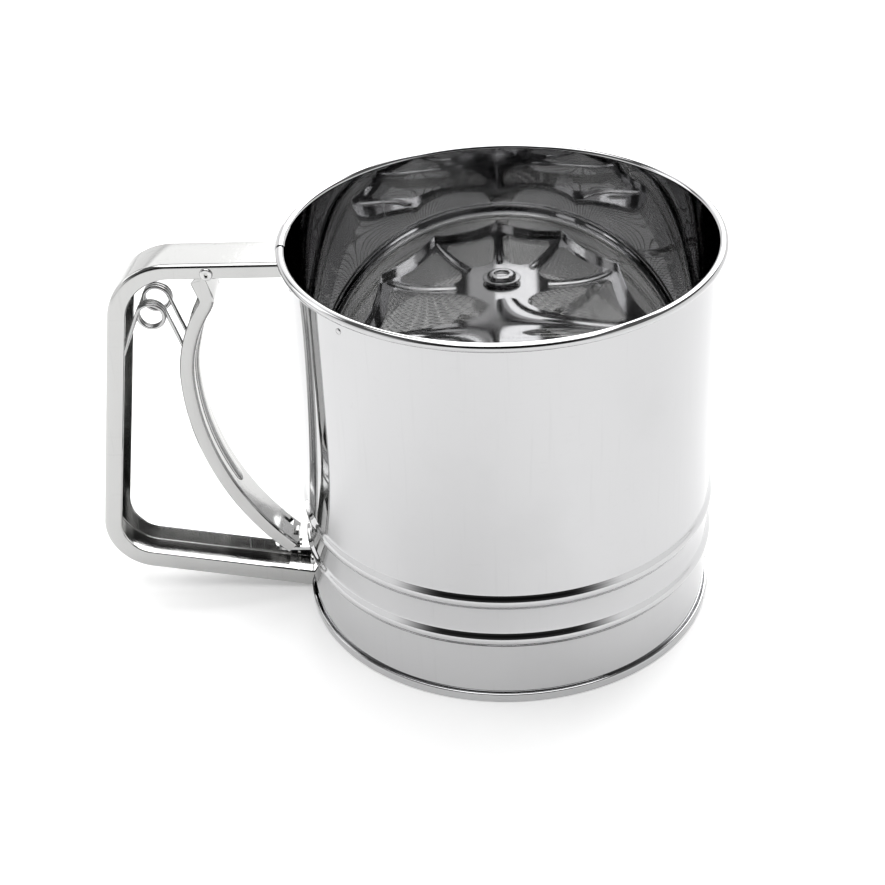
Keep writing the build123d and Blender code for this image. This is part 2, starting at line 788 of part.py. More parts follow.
with BuildPart() as cross_bar:
    with BuildSketch(Plane.XY.offset(cross_bar_bottom)):
        Circle(inner_radius + cross_bar_grip)
        Rectangle(cross_bar_width, 3 * cup_radius, mode=Mode.INTERSECT)
        Circle(cross_bar_eye_radius)
        Circle(bushing_radius, mode=Mode.SUBTRACT)
    extrude(amount=cross_bar_sheet)
save(cross_bar, "cross_bar")

# ---------------------------------------------------------------- agitator
with BuildPart() as agitator_wheel:
    with BuildSketch(Plane.XY.offset(wheel_bottom)):
        RegularPolygon(wheel_radius, spokes, rotation=wheel_rest_angle + half_step)
        window_far = wheel_radius * cos(radians(half_step)) - wheel_rim_width
        window_apex = wheel_spoke_width / 2 / sin(radians(half_step))
        window_half = (window_far - window_apex) * tan(radians(half_step))
        for k in range(spokes):
            window_plane = Plane.XY.rotated((0, 0, wheel_rest_angle + 2 * half_step * k))
            with BuildSketch(window_plane, mode=Mode.PRIVATE) as window:
                with BuildLine():
                    Polyline(
                        (window_apex, 0),
                        (window_far, window_half),
                        (window_far, -window_half),
                        close=True,
                    )
                make_face()
                fillet(window.vertices().group_by(Axis.X)[0], wheel_hub_fillet)
                fillet(window.vertices().group_by(Axis.X)[-1], wheel_corner_fillet)
            add(window.sketch, mode=Mode.SUBTRACT)
        Circle(shaft_radius, mode=Mode.SUBTRACT)
    extrude(amount=wheel_sheet)
    # upturned edge round the six sides
    with BuildSketch(Plane.XY.offset(wheel_bottom)):
        RegularPolygon(wheel_radius, spokes, rotation=wheel_rest_angle + half_step)
        RegularPolygon(
            wheel_radius - wheel_sheet / cos(radians(half_step)),
            spokes,
            rotation=wheel_rest_angle + half_step,
            mode=Mode.SUBTRACT,
        )
    extrude(amount=wheel_edge_height)
    outer_corners = agitator_wheel.edges().filter_by(
        lambda edge: hypot(edge.center().X, edge.center().Y) > wheel_radius - wheel_sheet / 2
    )
    fillet(outer_corners, wheel_sheet)
    # half-round ribs pressed into the spokes
    rib_start = bushing_flange_radius + wheel_hub_fillet
    rib_end = wheel_radius - wheel_rim_width
    for k in range(spokes):
        spoke = Plane.XY.rotated((0, 0, wheel_rest_angle + half_step + 2 * half_step * k))
        rib_root = spoke.x_dir * rib_start + Vector(0, 0, wheel_top)
        with BuildSketch(Plane(origin=rib_root, z_dir=spoke.x_dir)):
            Ellipse(wheel_rib_radius, wheel_rib_height)
        extrude(amount=rib_end - rib_start)
    with BuildSketch(Plane.XY.offset(wheel_bottom)):
        Circle(wheel_radius)
    extrude(amount=-wheel_edge_height, mode=Mode.SUBTRACT)
save(agitator_wheel, "agitator_wheel")

with BuildPart() as shaft_rivet:
    with BuildSketch(Plane.XY.offset(crank_bottom - shaft_foot)):
        Circle(shaft_foot_radius)
    extrude(amount=shaft_foot)
    with BuildSketch(Plane.XY.offset(crank_bottom)):
        Circle(shaft_radius)
    extrude(amount=hub_washer_top - crank_bottom)
    with BuildSketch(Plane.XY.offset(hub_washer_top)):
        Circle(shaft_head_radius)
    extrude(amount=shaft_head)
    fillet(shaft_rivet.edges().group_by(Axis.Z)[-1], head_rounding * shaft_head)
    with Locations((0, 0, hub_washer_top + shaft_head)):
        Cylinder(
            shaft_recess_radius,
            shaft_recess,
            align=(Align.CENTER, Align.CENTER, Align.MAX),
            mode=Mode.SUBTRACT,
        )
    chamfer(shaft_rivet.edges().group_by(Axis.Z)[0], shaft_foot / 3)
save(shaft_rivet, "shaft_rivet")

with BuildPart() as crank_arm:
    with BuildSketch(Plane.XY.offset(crank_bottom)):
        with Locations((crank_pin_x / 2, crank_pin_y / 2)):
            SlotCenterToCenter(crank_radius, crank_width, rotation=crank_rest_angle)
        Circle(crank_eye_radius)
        Circle(shaft_radius, mode=Mode.SUBTRACT)
        with Locations((crank_pin_x, crank_pin_y)):
            Circle(crank_pin_radius, mode=Mode.SUBTRACT)
    extrude(amount=crank_thickness)
save(crank_arm, "crank_arm")

clip_top = link_bottom - clip_gap
clip_bottom = clip_top - clip_thickness
with BuildPart() as crank_pin:
    with BuildSketch(Plane.XY.offset(clip_bottom - clip_gap)):
        with Locations((crank_pin_x, crank_pin_y)):
            Circle(crank_pin_radius)
    extrude(amount=crank_top - clip_bottom + clip_gap)
    with BuildSketch(Plane.XY.offset(crank_top)):
        with Locations((crank_pin_x, crank_pin_y)):
            Circle(crank_pin_head_radius)
    extrude(amount=clip_thickness)
    fillet(crank_pin.edges().group_by(Axis.Z)[-1], clip_thickness / 2)
    chamfer(crank_pin.edges().group_by(Axis.Z)[0], clip_gap / 2)
save(crank_pin, "crank_pin")

with BuildPart() as crank_clip:
    with BuildSketch(Plane.XY.offset(clip_bottom)):
        with Locations((crank_pin_x, crank_pin_y)):
            Circle(clip_radius)
            Circle(crank_pin_radius, mode=Mode.SUBTRACT)
    extrude(amount=clip_thickness)
save(crank_clip, "crank_clip")
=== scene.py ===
# %% [markdown]
# # A hand flour sifter
# The model is a steel cup with a channel handle, a sprung trigger and a spoked wheel over a woven screen.
# The CAD frame gives every place and size in metres, +Z up, with the handle towards -X. This script adds
# the looks: smooth sheet metal, a real weave, wire springs, and the polish of each surface.

# %% Load the frame
import json
import math

import bmesh
import bpy
from mathutils import Matrix, Vector


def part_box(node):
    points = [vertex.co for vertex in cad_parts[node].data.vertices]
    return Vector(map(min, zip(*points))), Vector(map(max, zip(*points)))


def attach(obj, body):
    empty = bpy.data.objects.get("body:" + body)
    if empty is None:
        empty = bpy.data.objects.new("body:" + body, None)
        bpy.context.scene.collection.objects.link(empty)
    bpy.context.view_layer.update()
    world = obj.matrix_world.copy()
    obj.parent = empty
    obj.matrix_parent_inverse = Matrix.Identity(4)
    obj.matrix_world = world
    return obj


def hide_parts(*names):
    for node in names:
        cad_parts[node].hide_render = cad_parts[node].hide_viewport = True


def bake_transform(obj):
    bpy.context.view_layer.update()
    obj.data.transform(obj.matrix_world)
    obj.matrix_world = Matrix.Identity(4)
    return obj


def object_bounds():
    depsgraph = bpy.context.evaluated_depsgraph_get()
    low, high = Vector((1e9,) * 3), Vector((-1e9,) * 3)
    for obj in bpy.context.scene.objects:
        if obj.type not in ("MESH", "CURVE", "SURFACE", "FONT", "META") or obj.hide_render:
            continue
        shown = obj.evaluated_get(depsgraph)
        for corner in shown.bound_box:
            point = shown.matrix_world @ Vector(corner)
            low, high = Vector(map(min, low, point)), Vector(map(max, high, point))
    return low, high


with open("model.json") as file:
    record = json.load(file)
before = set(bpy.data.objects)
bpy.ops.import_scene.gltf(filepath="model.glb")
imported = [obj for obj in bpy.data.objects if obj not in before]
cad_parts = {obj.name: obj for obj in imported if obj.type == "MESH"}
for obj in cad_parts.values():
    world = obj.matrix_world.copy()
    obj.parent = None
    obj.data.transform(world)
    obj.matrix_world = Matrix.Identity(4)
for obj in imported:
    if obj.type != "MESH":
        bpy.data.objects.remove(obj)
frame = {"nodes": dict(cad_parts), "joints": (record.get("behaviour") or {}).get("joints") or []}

cad_low, cad_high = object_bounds()
mm = 0.001
nodes = frame["nodes"]
print("nodes in the frame:", len(nodes))

# %% [markdown]
# ## Camera
# A product shot looks down at the sifter from in front, with the handle on the left. The camera's axes are
# worked out from three turns: yaw round the vertical, pitch down, and a small roll.

# %% Camera
camera_place = Vector((7.0, -399.9, 305.6)) * mm
camera_yaw = math.radians(-3.46)
camera_pitch = math.radians(33.13)
camera_roll = math.radians(-2.68)

ahead = Vector((
    math.sin(camera_yaw) * math.cos(camera_pitch),
    math.cos(camera_yaw) * math.cos(camera_pitch),
    -math.sin(camera_pitch),
))
level_right = Vector((math.cos(camera_yaw), -math.sin(camera_yaw), 0.0))
level_up = level_right.cross(ahead)
camera_right = math.cos(camera_roll) * level_right + math.sin(camera_roll) * level_up
camera_up = math.cos(camera_roll) * level_up - math.sin(camera_roll) * level_right

camera = bpy.data.objects.new("camera", bpy.data.cameras.new("camera"))
camera.data.lens = 71.4
camera.data.sensor_width = 36.0
turn = Matrix((camera_right, camera_up, -ahead)).transposed()
camera.matrix_world = Matrix.Translation(camera_place) @ turn.to_4x4()
bpy.context.scene.collection.objects.link(camera)
bpy.context.scene.camera = camera
bpy.context.scene.view_settings.view_transform = "Standard"
print("camera stands", round(camera_place.length, 3), "m from the base's middle")

# %% [markdown]
# ## Light tent and floor
# Polished steel shows nothing of its own, only its surroundings. A light tent gives it long white
# surfaces to reflect. The tent's opening, where the camera looks in, is its darkest place, and it draws
# the thin black lines along the beads. The world is painted as that tent: white at the sides, a dark
# opening in front, a bright panel at the back and a dark grey above. The table glows a little too, which
# keeps the shadows pale.

# %% World as a light tent
side_light, top_light = 1.25, 0.15
panel_light = (1.6, 5.2)
opening_shade = 0.97

world = bpy.data.worlds.new("light_tent")
bpy.context.scene.world = world
world.use_nodes = True
tree = world.node_tree
tree.nodes.clear()


def add(kind, **settings):
    """A node in the tree being built, with settings for its fields."""
    node = tree.nodes.new(kind)
    for field, value in settings.items():
        setattr(node, field, value)
    return node


def plug(value, socket):
    """Links a socket, or sets a plain value, on an input."""
    if isinstance(value, bpy.types.NodeSocket):
        tree.links.new(value, socket)
    else:
        socket.default_value = value


def maths(operation, *values, clamp=False):
    node = add("ShaderNodeMath", operation=operation, use_clamp=clamp)
    for place, value in enumerate(values):
        plug(value, node.inputs[place])
    return node.outputs[0]


def product(*values):
    result = values[0]
    for value in values[1:]:
        result = maths("MULTIPLY", result, value)
    return result


def between(value, low, high, to_low=0.0, to_high=1.0):
    """Value mapped smoothly from low..high to to_low..to_high, and held at the ends."""
    node = add("ShaderNodeMapRange", interpolation_type="SMOOTHSTEP")
    for place, number in enumerate((value, low, high, to_low, to_high)):
        plug(number, node.inputs[place])
    return node.outputs[0]


direction = add("ShaderNodeTexCoord").outputs["Generated"]
parts = add("ShaderNodeSeparateXYZ")
plug(direction, parts.inputs[0])
towards_front = maths("MULTIPLY", parts.outputs["Y"], -1.0)
height = parts.outputs["Z"]

# The limits are parts of a unit direction: height 0 is level, 1 is straight up.
opening = product(between(towards_front, 0.45, 0.80), between(height, 0.02, 0.09), opening_shade)
low_wall = between(height, 0.42, 0.22)
wall_light = between(low_wall, 0.0, 1.0, top_light, side_light)
back_panel = product(
    between(maths("ABSOLUTE", parts.outputs["X"]), 0.60, 0.52),
    between(parts.outputs["X"], -0.16, -0.10, *panel_light),
    between(parts.outputs["Y"], 0.0, 0.3),
    between(height, 0.30, 0.38),
    between(height, 0.80, 0.72),
)
tent_light = maths("ADD", product(wall_light, maths("SUBTRACT", 1.0, opening)), back_panel)
shade = add("ShaderNodeCombineColor")
for place in range(3):
    plug(tent_light, shade.inputs[place])
glow = add("ShaderNodeBackground")
plug(shade.outputs[0], glow.inputs["Color"])
glow.inputs["Strength"].default_value = 1.0
plug(glow.outputs[0], add("ShaderNodeOutputWorld").inputs["Surface"])
print("world nodes:", len(tree.nodes))

# %% Floor and lamps
floor_size = 6.0
floor_mesh = bpy.data.meshes.new("floor")
half_floor = floor_size / 2
floor_mesh.from_pydata(
    [(x * half_floor, y * half_floor, 0.0) for x, y in ((-1, -1), (1, -1), (1, 1), (-1, 1))],
    [],
    [(0, 1, 2, 3)],
)
floor = bpy.data.objects.new("floor", floor_mesh)
bpy.context.scene.collection.objects.link(floor)


def lamp(name, place, target, size, power):
    """A square area lamp that faces a target point."""
    data = bpy.data.lights.new(name, "AREA")
    data.size = size
    data.energy = power
    made = bpy.data.objects.new(name, data)
    facing = (Vector(target) - Vector(place)).to_track_quat("-Z", "Y")
    made.matrix_world = Matrix.Translation(place) @ facing.to_matrix().to_4x4()
    bpy.context.scene.collection.objects.link(made)


middle = (cad_low + cad_high) / 2
lamp("overhead_softbox", (0.0, -0.10, 1.20), middle, size=1.20, power=12.5)
lamp("left_softbox", (-0.90, 0.30, 0.60), middle, size=0.50, power=1.6)
print("floor and two lamps stand")

# %% [markdown]
# ## Finishes
# The whole sifter is stainless steel, but each piece was finished in its own way: the cup is buffed to a
# mirror, the handle and trigger are tumbled strip, the wires are drawn. One shared group makes the traces
# that handling leaves, fine scratches and a faint haze, and each finish takes as much of it as it shows.
# The group gives only values. Every shader stays in its own material.

# %% The shared wear group
def group_tree(name, numbers, results):
    """A shader group with number inputs and their defaults, and number results."""
    made = bpy.data.node_groups.new(name, "ShaderNodeTree")
    made.interface.new_socket("Vector", in_out="INPUT", socket_type="NodeSocketVector")
    for label, default in numbers.items():
        socket = made.interface.new_socket(label, in_out="INPUT", socket_type="NodeSocketFloat")
        socket.default_value = default
    for label in results:
        made.interface.new_socket(label, in_out="OUTPUT", socket_type="NodeSocketFloat")
    return made


def noise(vector, scale, detail=3.0, roughness=0.55):
    node = add("ShaderNodeTexNoise")
    plug(vector, node.inputs["Vector"])
    plug(scale, node.inputs["Scale"])
    node.inputs["Detail"].default_value = detail
    node.inputs["Roughness"].default_value = roughness
    return node.outputs[0]


def stretched(vector, x, y, z):
    node = add("ShaderNodeMapping")
    plug(vector, node.inputs["Vector"])
    node.inputs["Scale"].default_value = (x, y, z)
    return node.outputs[0]


handling = group_tree(
    "handling_marks",
    {"Grain": 900.0, "Haze": 28.0},
    ("Scratches", "Smudges", "Waves"),
)
tree = handling
inputs = add("NodeGroupInput")
results = add("NodeGroupOutput")
along_z = stretched(inputs.outputs["Vector"], 1.0, 1.0, 0.04)
along_x = stretched(inputs.outputs["Vector"], 0.05, 1.0, 1.0)
fine_lines = noise(along_z, inputs.outputs["Grain"], 2.0)
cross_lines = noise(along_x, inputs.outputs["Grain"], 2.0)
scratches = maths("MAXIMUM", between(fine_lines, 0.56, 0.80), between(cross_lines, 0.60, 0.84))
patches = noise(inputs.outputs["Vector"], inputs.outputs["Haze"], 4.0, 0.6)
broad = noise(inputs.outputs["Vector"], product(inputs.outputs["Haze"], 0.7), 1.0)
plug(scratches, results.inputs["Scratches"])
plug(between(patches, 0.48, 0.72), results.inputs["Smudges"])
plug(broad, results.inputs["Waves"])
print("handling_marks has", len(handling.nodes), "nodes")


# %% One steel, many finishes
def steel(name, colour, smooth, rough, scratch=0.04, wave=0.0, grain=900.0, haze=28.0, darken=0.06):
    """A stainless finish: roughness runs from smooth to rough where the metal is marked."""
    global tree
    made = bpy.data.materials.new(name)
    made.use_nodes = True
    tree = made.node_tree
    tree.nodes.clear()
    place = add("ShaderNodeTexCoord").outputs["Object"]
    marks = add("ShaderNodeGroup", node_tree=handling)
    plug(place, marks.inputs["Vector"])
    marks.inputs["Grain"].default_value = grain
    marks.inputs["Haze"].default_value = haze
    shader = add("ShaderNodeBsdfPrincipled")
    shader.inputs["Metallic"].default_value = 1.0
    worn = maths("MAXIMUM", marks.outputs["Smudges"], marks.outputs["Scratches"], clamp=True)
    plug(between(worn, 0.0, 1.0, smooth, rough), shader.inputs["Roughness"])
    tint = add("ShaderNodeMix", data_type="RGBA")
    plug(worn, tint.inputs["Factor"])
    tint.inputs[6].default_value = (*colour, 1.0)
    tint.inputs[7].default_value = (*(channel * (1.0 - darken) for channel in colour), 1.0)
    plug(tint.outputs[2], shader.inputs["Base Color"])
    waves, scratches = product(marks.outputs["Waves"], wave), product(marks.outputs["Scratches"], -scratch)
    bump = add("ShaderNodeBump")
    bump.inputs["Strength"].default_value = 0.5
    bump.inputs["Distance"].default_value = 0.0002
    plug(maths("ADD", waves, scratches), bump.inputs["Height"])
    plug(bump.outputs[0], shader.inputs["Normal"])
    plug(shader.outputs[0], add("ShaderNodeOutputMaterial").inputs["Surface"])
    return made


cup_mirror = steel("cup_mirror", (0.50, 0.50, 0.505), 0.03, 0.07, scratch=0.0, wave=0.3, darken=0.03)
strip_steel = steel("strip_steel", (0.48, 0.48, 0.475), 0.10, 0.22, scratch=0.08, wave=0.6)
pressed_steel = steel("pressed_steel", (0.60, 0.60, 0.60), 0.09, 0.20, wave=0.6)
turned_steel = steel("turned_steel", (0.58, 0.58, 0.58), 0.12, 0.24, grain=1500.0)
drawn_wire = steel("drawn_wire", (0.44, 0.44, 0.44), 0.14, 0.26, grain=1800.0)
woven_wire = steel("woven_wire", (0.74, 0.74, 0.72), 0.16, 0.28, grain=1800.0)

floor_paint = bpy.data.materials.new("floor_paint")
floor_paint.use_nodes = True
floor_shader = floor_paint.node_tree.nodes["Principled BSDF"]
floor_shader.inputs["Base Color"].default_value = (0.92, 0.92, 0.92, 1.0)
floor_shader.inputs["Roughness"].default_value = 0.9
floor_shader.inputs["Emission Color"].default_value = (1.0, 1.0, 1.0, 1.0)
floor_shader.inputs["Emission Strength"].default_value = 0.24
floor.data.materials.append(floor_paint)
print("finishes:", [m.name for m in bpy.data.materials])

# %% [markdown]
# ## Turning, sweeping and smoothing
# Sheet-metal pieces are shells of even thickness. A turned one is an outline spun round an axis. A bent
# strip is a section carried along a path. Both helpers place every point by a formula, so the curves are
# smooth enough for a mirror, and both close the skin and turn its faces outwards.

# %% Mesh helpers
def mesh_piece(name, points, faces, finish):
    """A closed piece in its place, with its normals outwards and smooth faces."""
    built = bmesh.new()
    corners = [built.verts.new(point) for point in points]
    for face in faces:
        built.faces.new([corners[i] for i in face])
    bmesh.ops.remove_doubles(built, verts=built.verts, dist=1e-7)
    bmesh.ops.recalc_face_normals(built, faces=built.faces)
    mesh = bpy.data.meshes.new(name)
    built.to_mesh(mesh)
    built.free()
    mesh.materials.append(finish)
    soften(mesh)
    made = bpy.data.objects.new(name, mesh)
    bpy.context.scene.collection.objects.link(made)
    return made


def soften(mesh, sharp=32.0):
    """Smooth faces, with edges kept crisp past an angle in degrees."""
    mesh.polygons.foreach_set("use_smooth", [True] * len(mesh.polygons))
    mesh.set_sharp_from_angle(angle=math.radians(sharp))


def arc(centre, radius, start, sweep, steps):
    """Points on an arc, with angles in degrees."""
    return [
        (
            centre[0] + radius * math.cos(math.radians(start + sweep * i / steps)),
            centre[1] + radius * math.sin(math.radians(start + sweep * i / steps)),
        )
        for i in range(steps + 1)
    ]


def rounded(outline, radius, steps=6):
    """A closed outline with every corner rounded."""
    result = []
    count = len(outline)
    for i, corner in enumerate(outline):
        here = Vector(corner)
        back = Vector(outline[i - 1]) - here
        on = Vector(outline[(i + 1) % count]) - here
        half = back.angle(on) / 2
        reach = min(radius / math.tan(half), 0.45 * back.length, 0.45 * on.length)
        start, end = here + back.normalized() * reach, here + on.normalized() * reach
        for k in range(steps + 1):
            t = k / steps
            result.append(tuple((1 - t) ** 2 * start + 2 * t * (1 - t) * here + t * t * end))
    return result


def spun(outline, steps, centre=(0.0, 0.0), axis="Z"):
    """Rings of an outline of (radius, height) points about an axis, as points and faces."""
    points = []
    for i in range(steps):
        angle = 2 * math.pi * i / steps
        for radius, rise in outline:
            x, y = radius * math.cos(angle), radius * math.sin(angle)
            if axis == "Z":
                points.append((centre[0] + x, centre[1] + y, rise))
            else:
                points.append((centre[0] + x, rise, centre[1] + y))
    count = len(outline)
    faces = []
    for i in range(steps):
        for k in range(count):
            a, b = i * count, (i + 1) % steps * count
            faces.append((a + k, b + k, b + (k + 1) % count, a + (k + 1) % count))
    return points, faces


def turned(name, outline, finish, steps=96, **where):
    points, faces = spun(outline, steps, **where)
    return mesh_piece(name, points, faces, finish)


def carried(rings):
    """Points and faces of a skin through rings of equal count, closed by a face at each end."""
    count = len(rings[0])
    points = [point for ring in rings for point in ring]
    faces = [
        (a + k, a + (k + 1) % count, a + count + (k + 1) % count, a + count + k)
        for a in range(0, count * (len(rings) - 1), count)
        for k in range(count)
    ]
    faces.append(tuple(range(count)))
    faces.append(tuple(range(count * (len(rings) - 1), count * len(rings))))
    return points, faces


def joined(*skins):
    """Several skins as one set of points and faces."""
    points, faces = [], []
    for more_points, more_faces in skins:
        start = len(points)
        points.extend(more_points)
        faces.extend(tuple(i + start for i in face) for face in more_faces)
    return points, faces


def settle(piece, body, slot, *replaced):
    """A finished piece rides on its body and stands for its CAD nodes. The slot is not used."""
    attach(piece, body)
    if replaced:
        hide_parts(*replaced)
    print(piece.name, "on", body, "faces:", len(piece.data.polygons))


def cut(piece, low, high):
    """Cuts a box-shaped opening through a piece."""
    tool = bpy.data.objects.new("cutter", bpy.data.meshes.new("cutter"))
    built = bmesh.new()
    bmesh.ops.create_cube(built, size=1.0)
    size, centre = Vector(high) - Vector(low), (Vector(high) + Vector(low)) / 2
    placing = Matrix.Translation(centre) @ Matrix.Diagonal((*size, 1))
    bmesh.ops.transform(built, matrix=placing, verts=built.verts)
    built.to_mesh(tool.data)
    built.free()
    bpy.context.scene.collection.objects.link(tool)
    boolean = piece.modifiers.new("opening", "BOOLEAN")
    boolean.object = tool
    boolean.operation = "DIFFERENCE"
    boolean.solver = "EXACT"
    flatten(piece)
    bpy.data.objects.remove(tool)


def flatten(piece):
    """Turns a piece's modifiers into its plain mesh."""
    graph = bpy.context.evaluated_depsgraph_get()
    result = bpy.data.meshes.new_from_object(piece.evaluated_get(graph))
    piece.modifiers.clear()
    piece.data = result


# %% [markdown]
# ## The cup
# The cup is one sheet 0.4 mm thick: rolled over a wire at the rim, pressed out in two beads, and folded
# back as a hem at the foot. Spinning its section round the axis gives the sheet in one closed skin. Each
# bead swells and dies away as a cosine that is a little filled out, so reflections bend round it without
# a crease.

# %% Cup section
sheet = 0.4 * mm
rim_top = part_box("cup_body")[1].z
rim_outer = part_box("cup_body")[1].x
curl_radius = 1.2 * mm
inner_wall = rim_outer - 2 * curl_radius
outer_wall = inner_wall + sheet
curl_centre = (rim_outer - curl_radius, rim_top - curl_radius)
curl_sweep = 303.0
bead_height = 5.0 * mm
bead_depth = 1.0 * mm
bead_fullness = 0.8
bead_steps = 32
bead_heights = (20.0 * mm, 32.0 * mm)
hem_top = 2.6 * mm
hem_outer = inner_wall + 1.4 * mm
hem_corner = 0.45 * mm


def wall_points(face):
    """The wall's face from the foot up, out over both beads."""
    points = []
    for middle_z in bead_heights:
        for i in range(bead_steps + 1):
            t = 2.0 * i / bead_steps - 1.0
            swell = bead_depth * (0.5 + 0.5 * math.cos(math.pi * t)) ** bead_fullness
            points.append((face + swell, middle_z + t * bead_height / 2))
    points.append((face, curl_centre[1] - 4 * curl_radius))
    return points


cup_outline = (
    arc((inner_wall + hem_corner, hem_corner), hem_corner, 270, -90, 6)
    + wall_points(inner_wall)
    + arc(curl_centre, curl_radius, 180, -curl_sweep, 60)
    + arc(curl_centre, curl_radius - sheet, 180 - curl_sweep, curl_sweep, 60)
    + wall_points(outer_wall)[::-1]
    + [(outer_wall + 0.02 * mm, hem_top), (outer_wall + 0.02 * mm, hem_top - 0.5 * mm)]
    + arc((hem_outer - hem_corner, hem_top - hem_corner), hem_corner, 115, -115, 6)
    + arc((hem_outer - hem_corner, hem_corner), hem_corner, 0, -90, 6)
)
cup_steps = 288
cup = turned("cup_shell", cup_outline, cup_mirror, cup_steps)
print("cup outline points:", len(cup_outline))

# %% The link's slot in the wall
link_low, link_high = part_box("drive_link")
slot_room = 0.6 * mm
link_half = 2.7 * mm
cut(
    cup,
    (-rim_outer - 2 * mm, -link_half - slot_room, link_low.z - slot_room),
    (-inner_wall + 4 * mm, link_half + slot_room, link_high.z + slot_room),
)
soften(cup.data)

# %% [markdown]
# Four small locking pips stand under the rim, two on each side of the handle. They are all alike and
# stand on one circle, so Geometry Nodes set one stud on each point and turn it to face outwards. The same
# tree sets the two rivet heads beside the link's slot.

# %% Helpers for the trees
def geometry_tree(name, **numbers):
    """An empty tree with a geometry in and out, a finish, and number inputs with their defaults."""
    global tree
    tree = bpy.data.node_groups.new(name, "GeometryNodeTree")
    tree.interface.new_socket("Geometry", in_out="INPUT", socket_type="NodeSocketGeometry")
    for label, default in numbers.items():
        kind = "NodeSocketInt" if isinstance(default, int) else "NodeSocketFloat"
        socket = tree.interface.new_socket(label.replace("_", " "), in_out="INPUT", socket_type=kind)
        socket.default_value = default
    tree.interface.new_socket("Finish", in_out="INPUT", socket_type="NodeSocketMaterial")
    tree.interface.new_socket("Geometry", in_out="OUTPUT", socket_type="NodeSocketGeometry")
    return add("NodeGroupInput").outputs


def end_tree(geometry, finish):
    """Makes instances real, sets the material and closes the tree."""
    real = add("GeometryNodeRealizeInstances")
    plug(geometry, real.inputs[0])
    painted = add("GeometryNodeSetMaterial")
    plug(real.outputs[0], painted.inputs["Geometry"])
    plug(finish, painted.inputs["Material"])
    plug(painted.outputs[0], add("NodeGroupOutput").inputs[0])
    return tree


def on_axis(value, axis):
    """A vector with a value on one axis."""
    node = add("ShaderNodeCombineXYZ")
    plug(value, node.inputs[axis])
    return node.outputs[0]


def tube(edges, radius, sides):
    """Carries a ring of so many sides along a mesh's edges."""
    line = add("GeometryNodeMeshToCurve")
    plug(edges, line.inputs[0])
    section = add("GeometryNodeCurvePrimitiveCircle")
    plug(sides, section.inputs["Resolution"])
    plug(radius, section.inputs["Radius"])
    skin = add("GeometryNodeCurveToMesh")
    plug(line.outputs[0], skin.inputs["Curve"])
    plug(section.outputs[0], skin.inputs["Profile Curve"])
    skin.inputs["Fill Caps"].default_value = True
    return skin.outputs[0]


# %% A tree that sets studs round a wall
def studs_tree():
    """Flattened balls on a mesh's points, each facing away from the Z axis."""
    given = geometry_tree("studs_round_a_wall", Radius=0.001, Proud=0.0005)
    ball = add("GeometryNodeMeshUVSphere")
    ball.inputs["Segments"].default_value = 24
    ball.inputs["Rings"].default_value = 12
    ball.inputs["Radius"].default_value = 1.0
    outward = add("ShaderNodeVectorMath", operation="MULTIPLY")
    plug(add("GeometryNodeInputPosition").outputs[0], outward.inputs[0])
    outward.inputs[1].default_value = (1.0, 1.0, 0.0)
    facing = add("FunctionNodeAlignRotationToVector", axis="Z")
    plug(outward.outputs[0], facing.inputs["Vector"])
    shape = add("ShaderNodeCombineXYZ")
    for place, size in enumerate(("Radius", "Radius", "Proud")):
        plug(given[size], shape.inputs[place])
    placed = add("GeometryNodeInstanceOnPoints")
    plug(given["Geometry"], placed.inputs["Points"])
    plug(ball.outputs[0], placed.inputs["Instance"])
    plug(facing.outputs[0], placed.inputs["Rotation"])
    plug(shape.outputs[0], placed.inputs["Scale"])
    return end_tree(placed.outputs[0], given["Finish"])


def set_inputs(modifier, **values):
    """Sets a modifier's inputs through the identifiers of its sockets."""
    for item in modifier.node_group.interface.items_tree:
        label = item.name.replace(" ", "_").lower()
        if item.in_out == "INPUT" and label in values:
            modifier[item.identifier] = values[label]


def grown(name, mesh, group, **values):
    """A plain mesh piece made by a Geometry Nodes tree from a starting mesh."""
    made = bpy.data.objects.new(name, mesh)
    bpy.context.scene.collection.objects.link(made)
    modifier = made.modifiers.new("build", "NODES")
    modifier.node_group = group
    set_inputs(modifier, **values)
    flatten(made)
    made.data.name = name
    return made


def points_mesh(name, points, edges=()):
    mesh = bpy.data.meshes.new(name)
    mesh.from_pydata([tuple(point) for point in points], list(edges), [])
    return mesh


studs = studs_tree()
handle_angle = 180.0
pip_z = rim_top - 5.4 * mm
pip_places = []
for side_angle in (19.0, 46.0):
    for turn_angle in (handle_angle - side_angle, handle_angle + side_angle):
        angle = math.radians(turn_angle)
        pip_places.append((outer_wall * math.cos(angle), outer_wall * math.sin(angle), pip_z))
pips = grown(
    "wall_pips",
    points_mesh("pips", pip_places),
    studs,
    radius=0.85 * mm,
    proud=0.35 * mm,
    finish=cup_mirror,
)
soften(pips.data, 60.0)
settle(cup, "cup", "polished_steel", "cup_body")
settle(pips, "cup", "polished_steel")

rivet_y = 7.4 * mm
rivet_z = (link_low.z + link_high.z) / 2
rivet_x = -math.sqrt(outer_wall ** 2 - rivet_y ** 2)
rivet_places = [(rivet_x, side * rivet_y, rivet_z) for side in (-1, 1)]
slot_rivets = grown(
    "slot_rivet_heads",
    points_mesh("rivets", rivet_places),
    studs,
    radius=1.7 * mm,
    proud=0.6 * mm,
    finish=turned_steel,
)
soften(slot_rivets.data, 60.0)
settle(slot_rivets, "cup", "fastener_steel")

# %% [markdown]
# ## The handle
# One strip is bent into a U channel and then round two corners. Its web faces out and its flanges face
# in, 4 to 5 mm deep. The section is carried along the path's outer face, and its depth changes smoothly
# from bar to bar. The ends follow the round wall, and the lower one steps out over the hem.

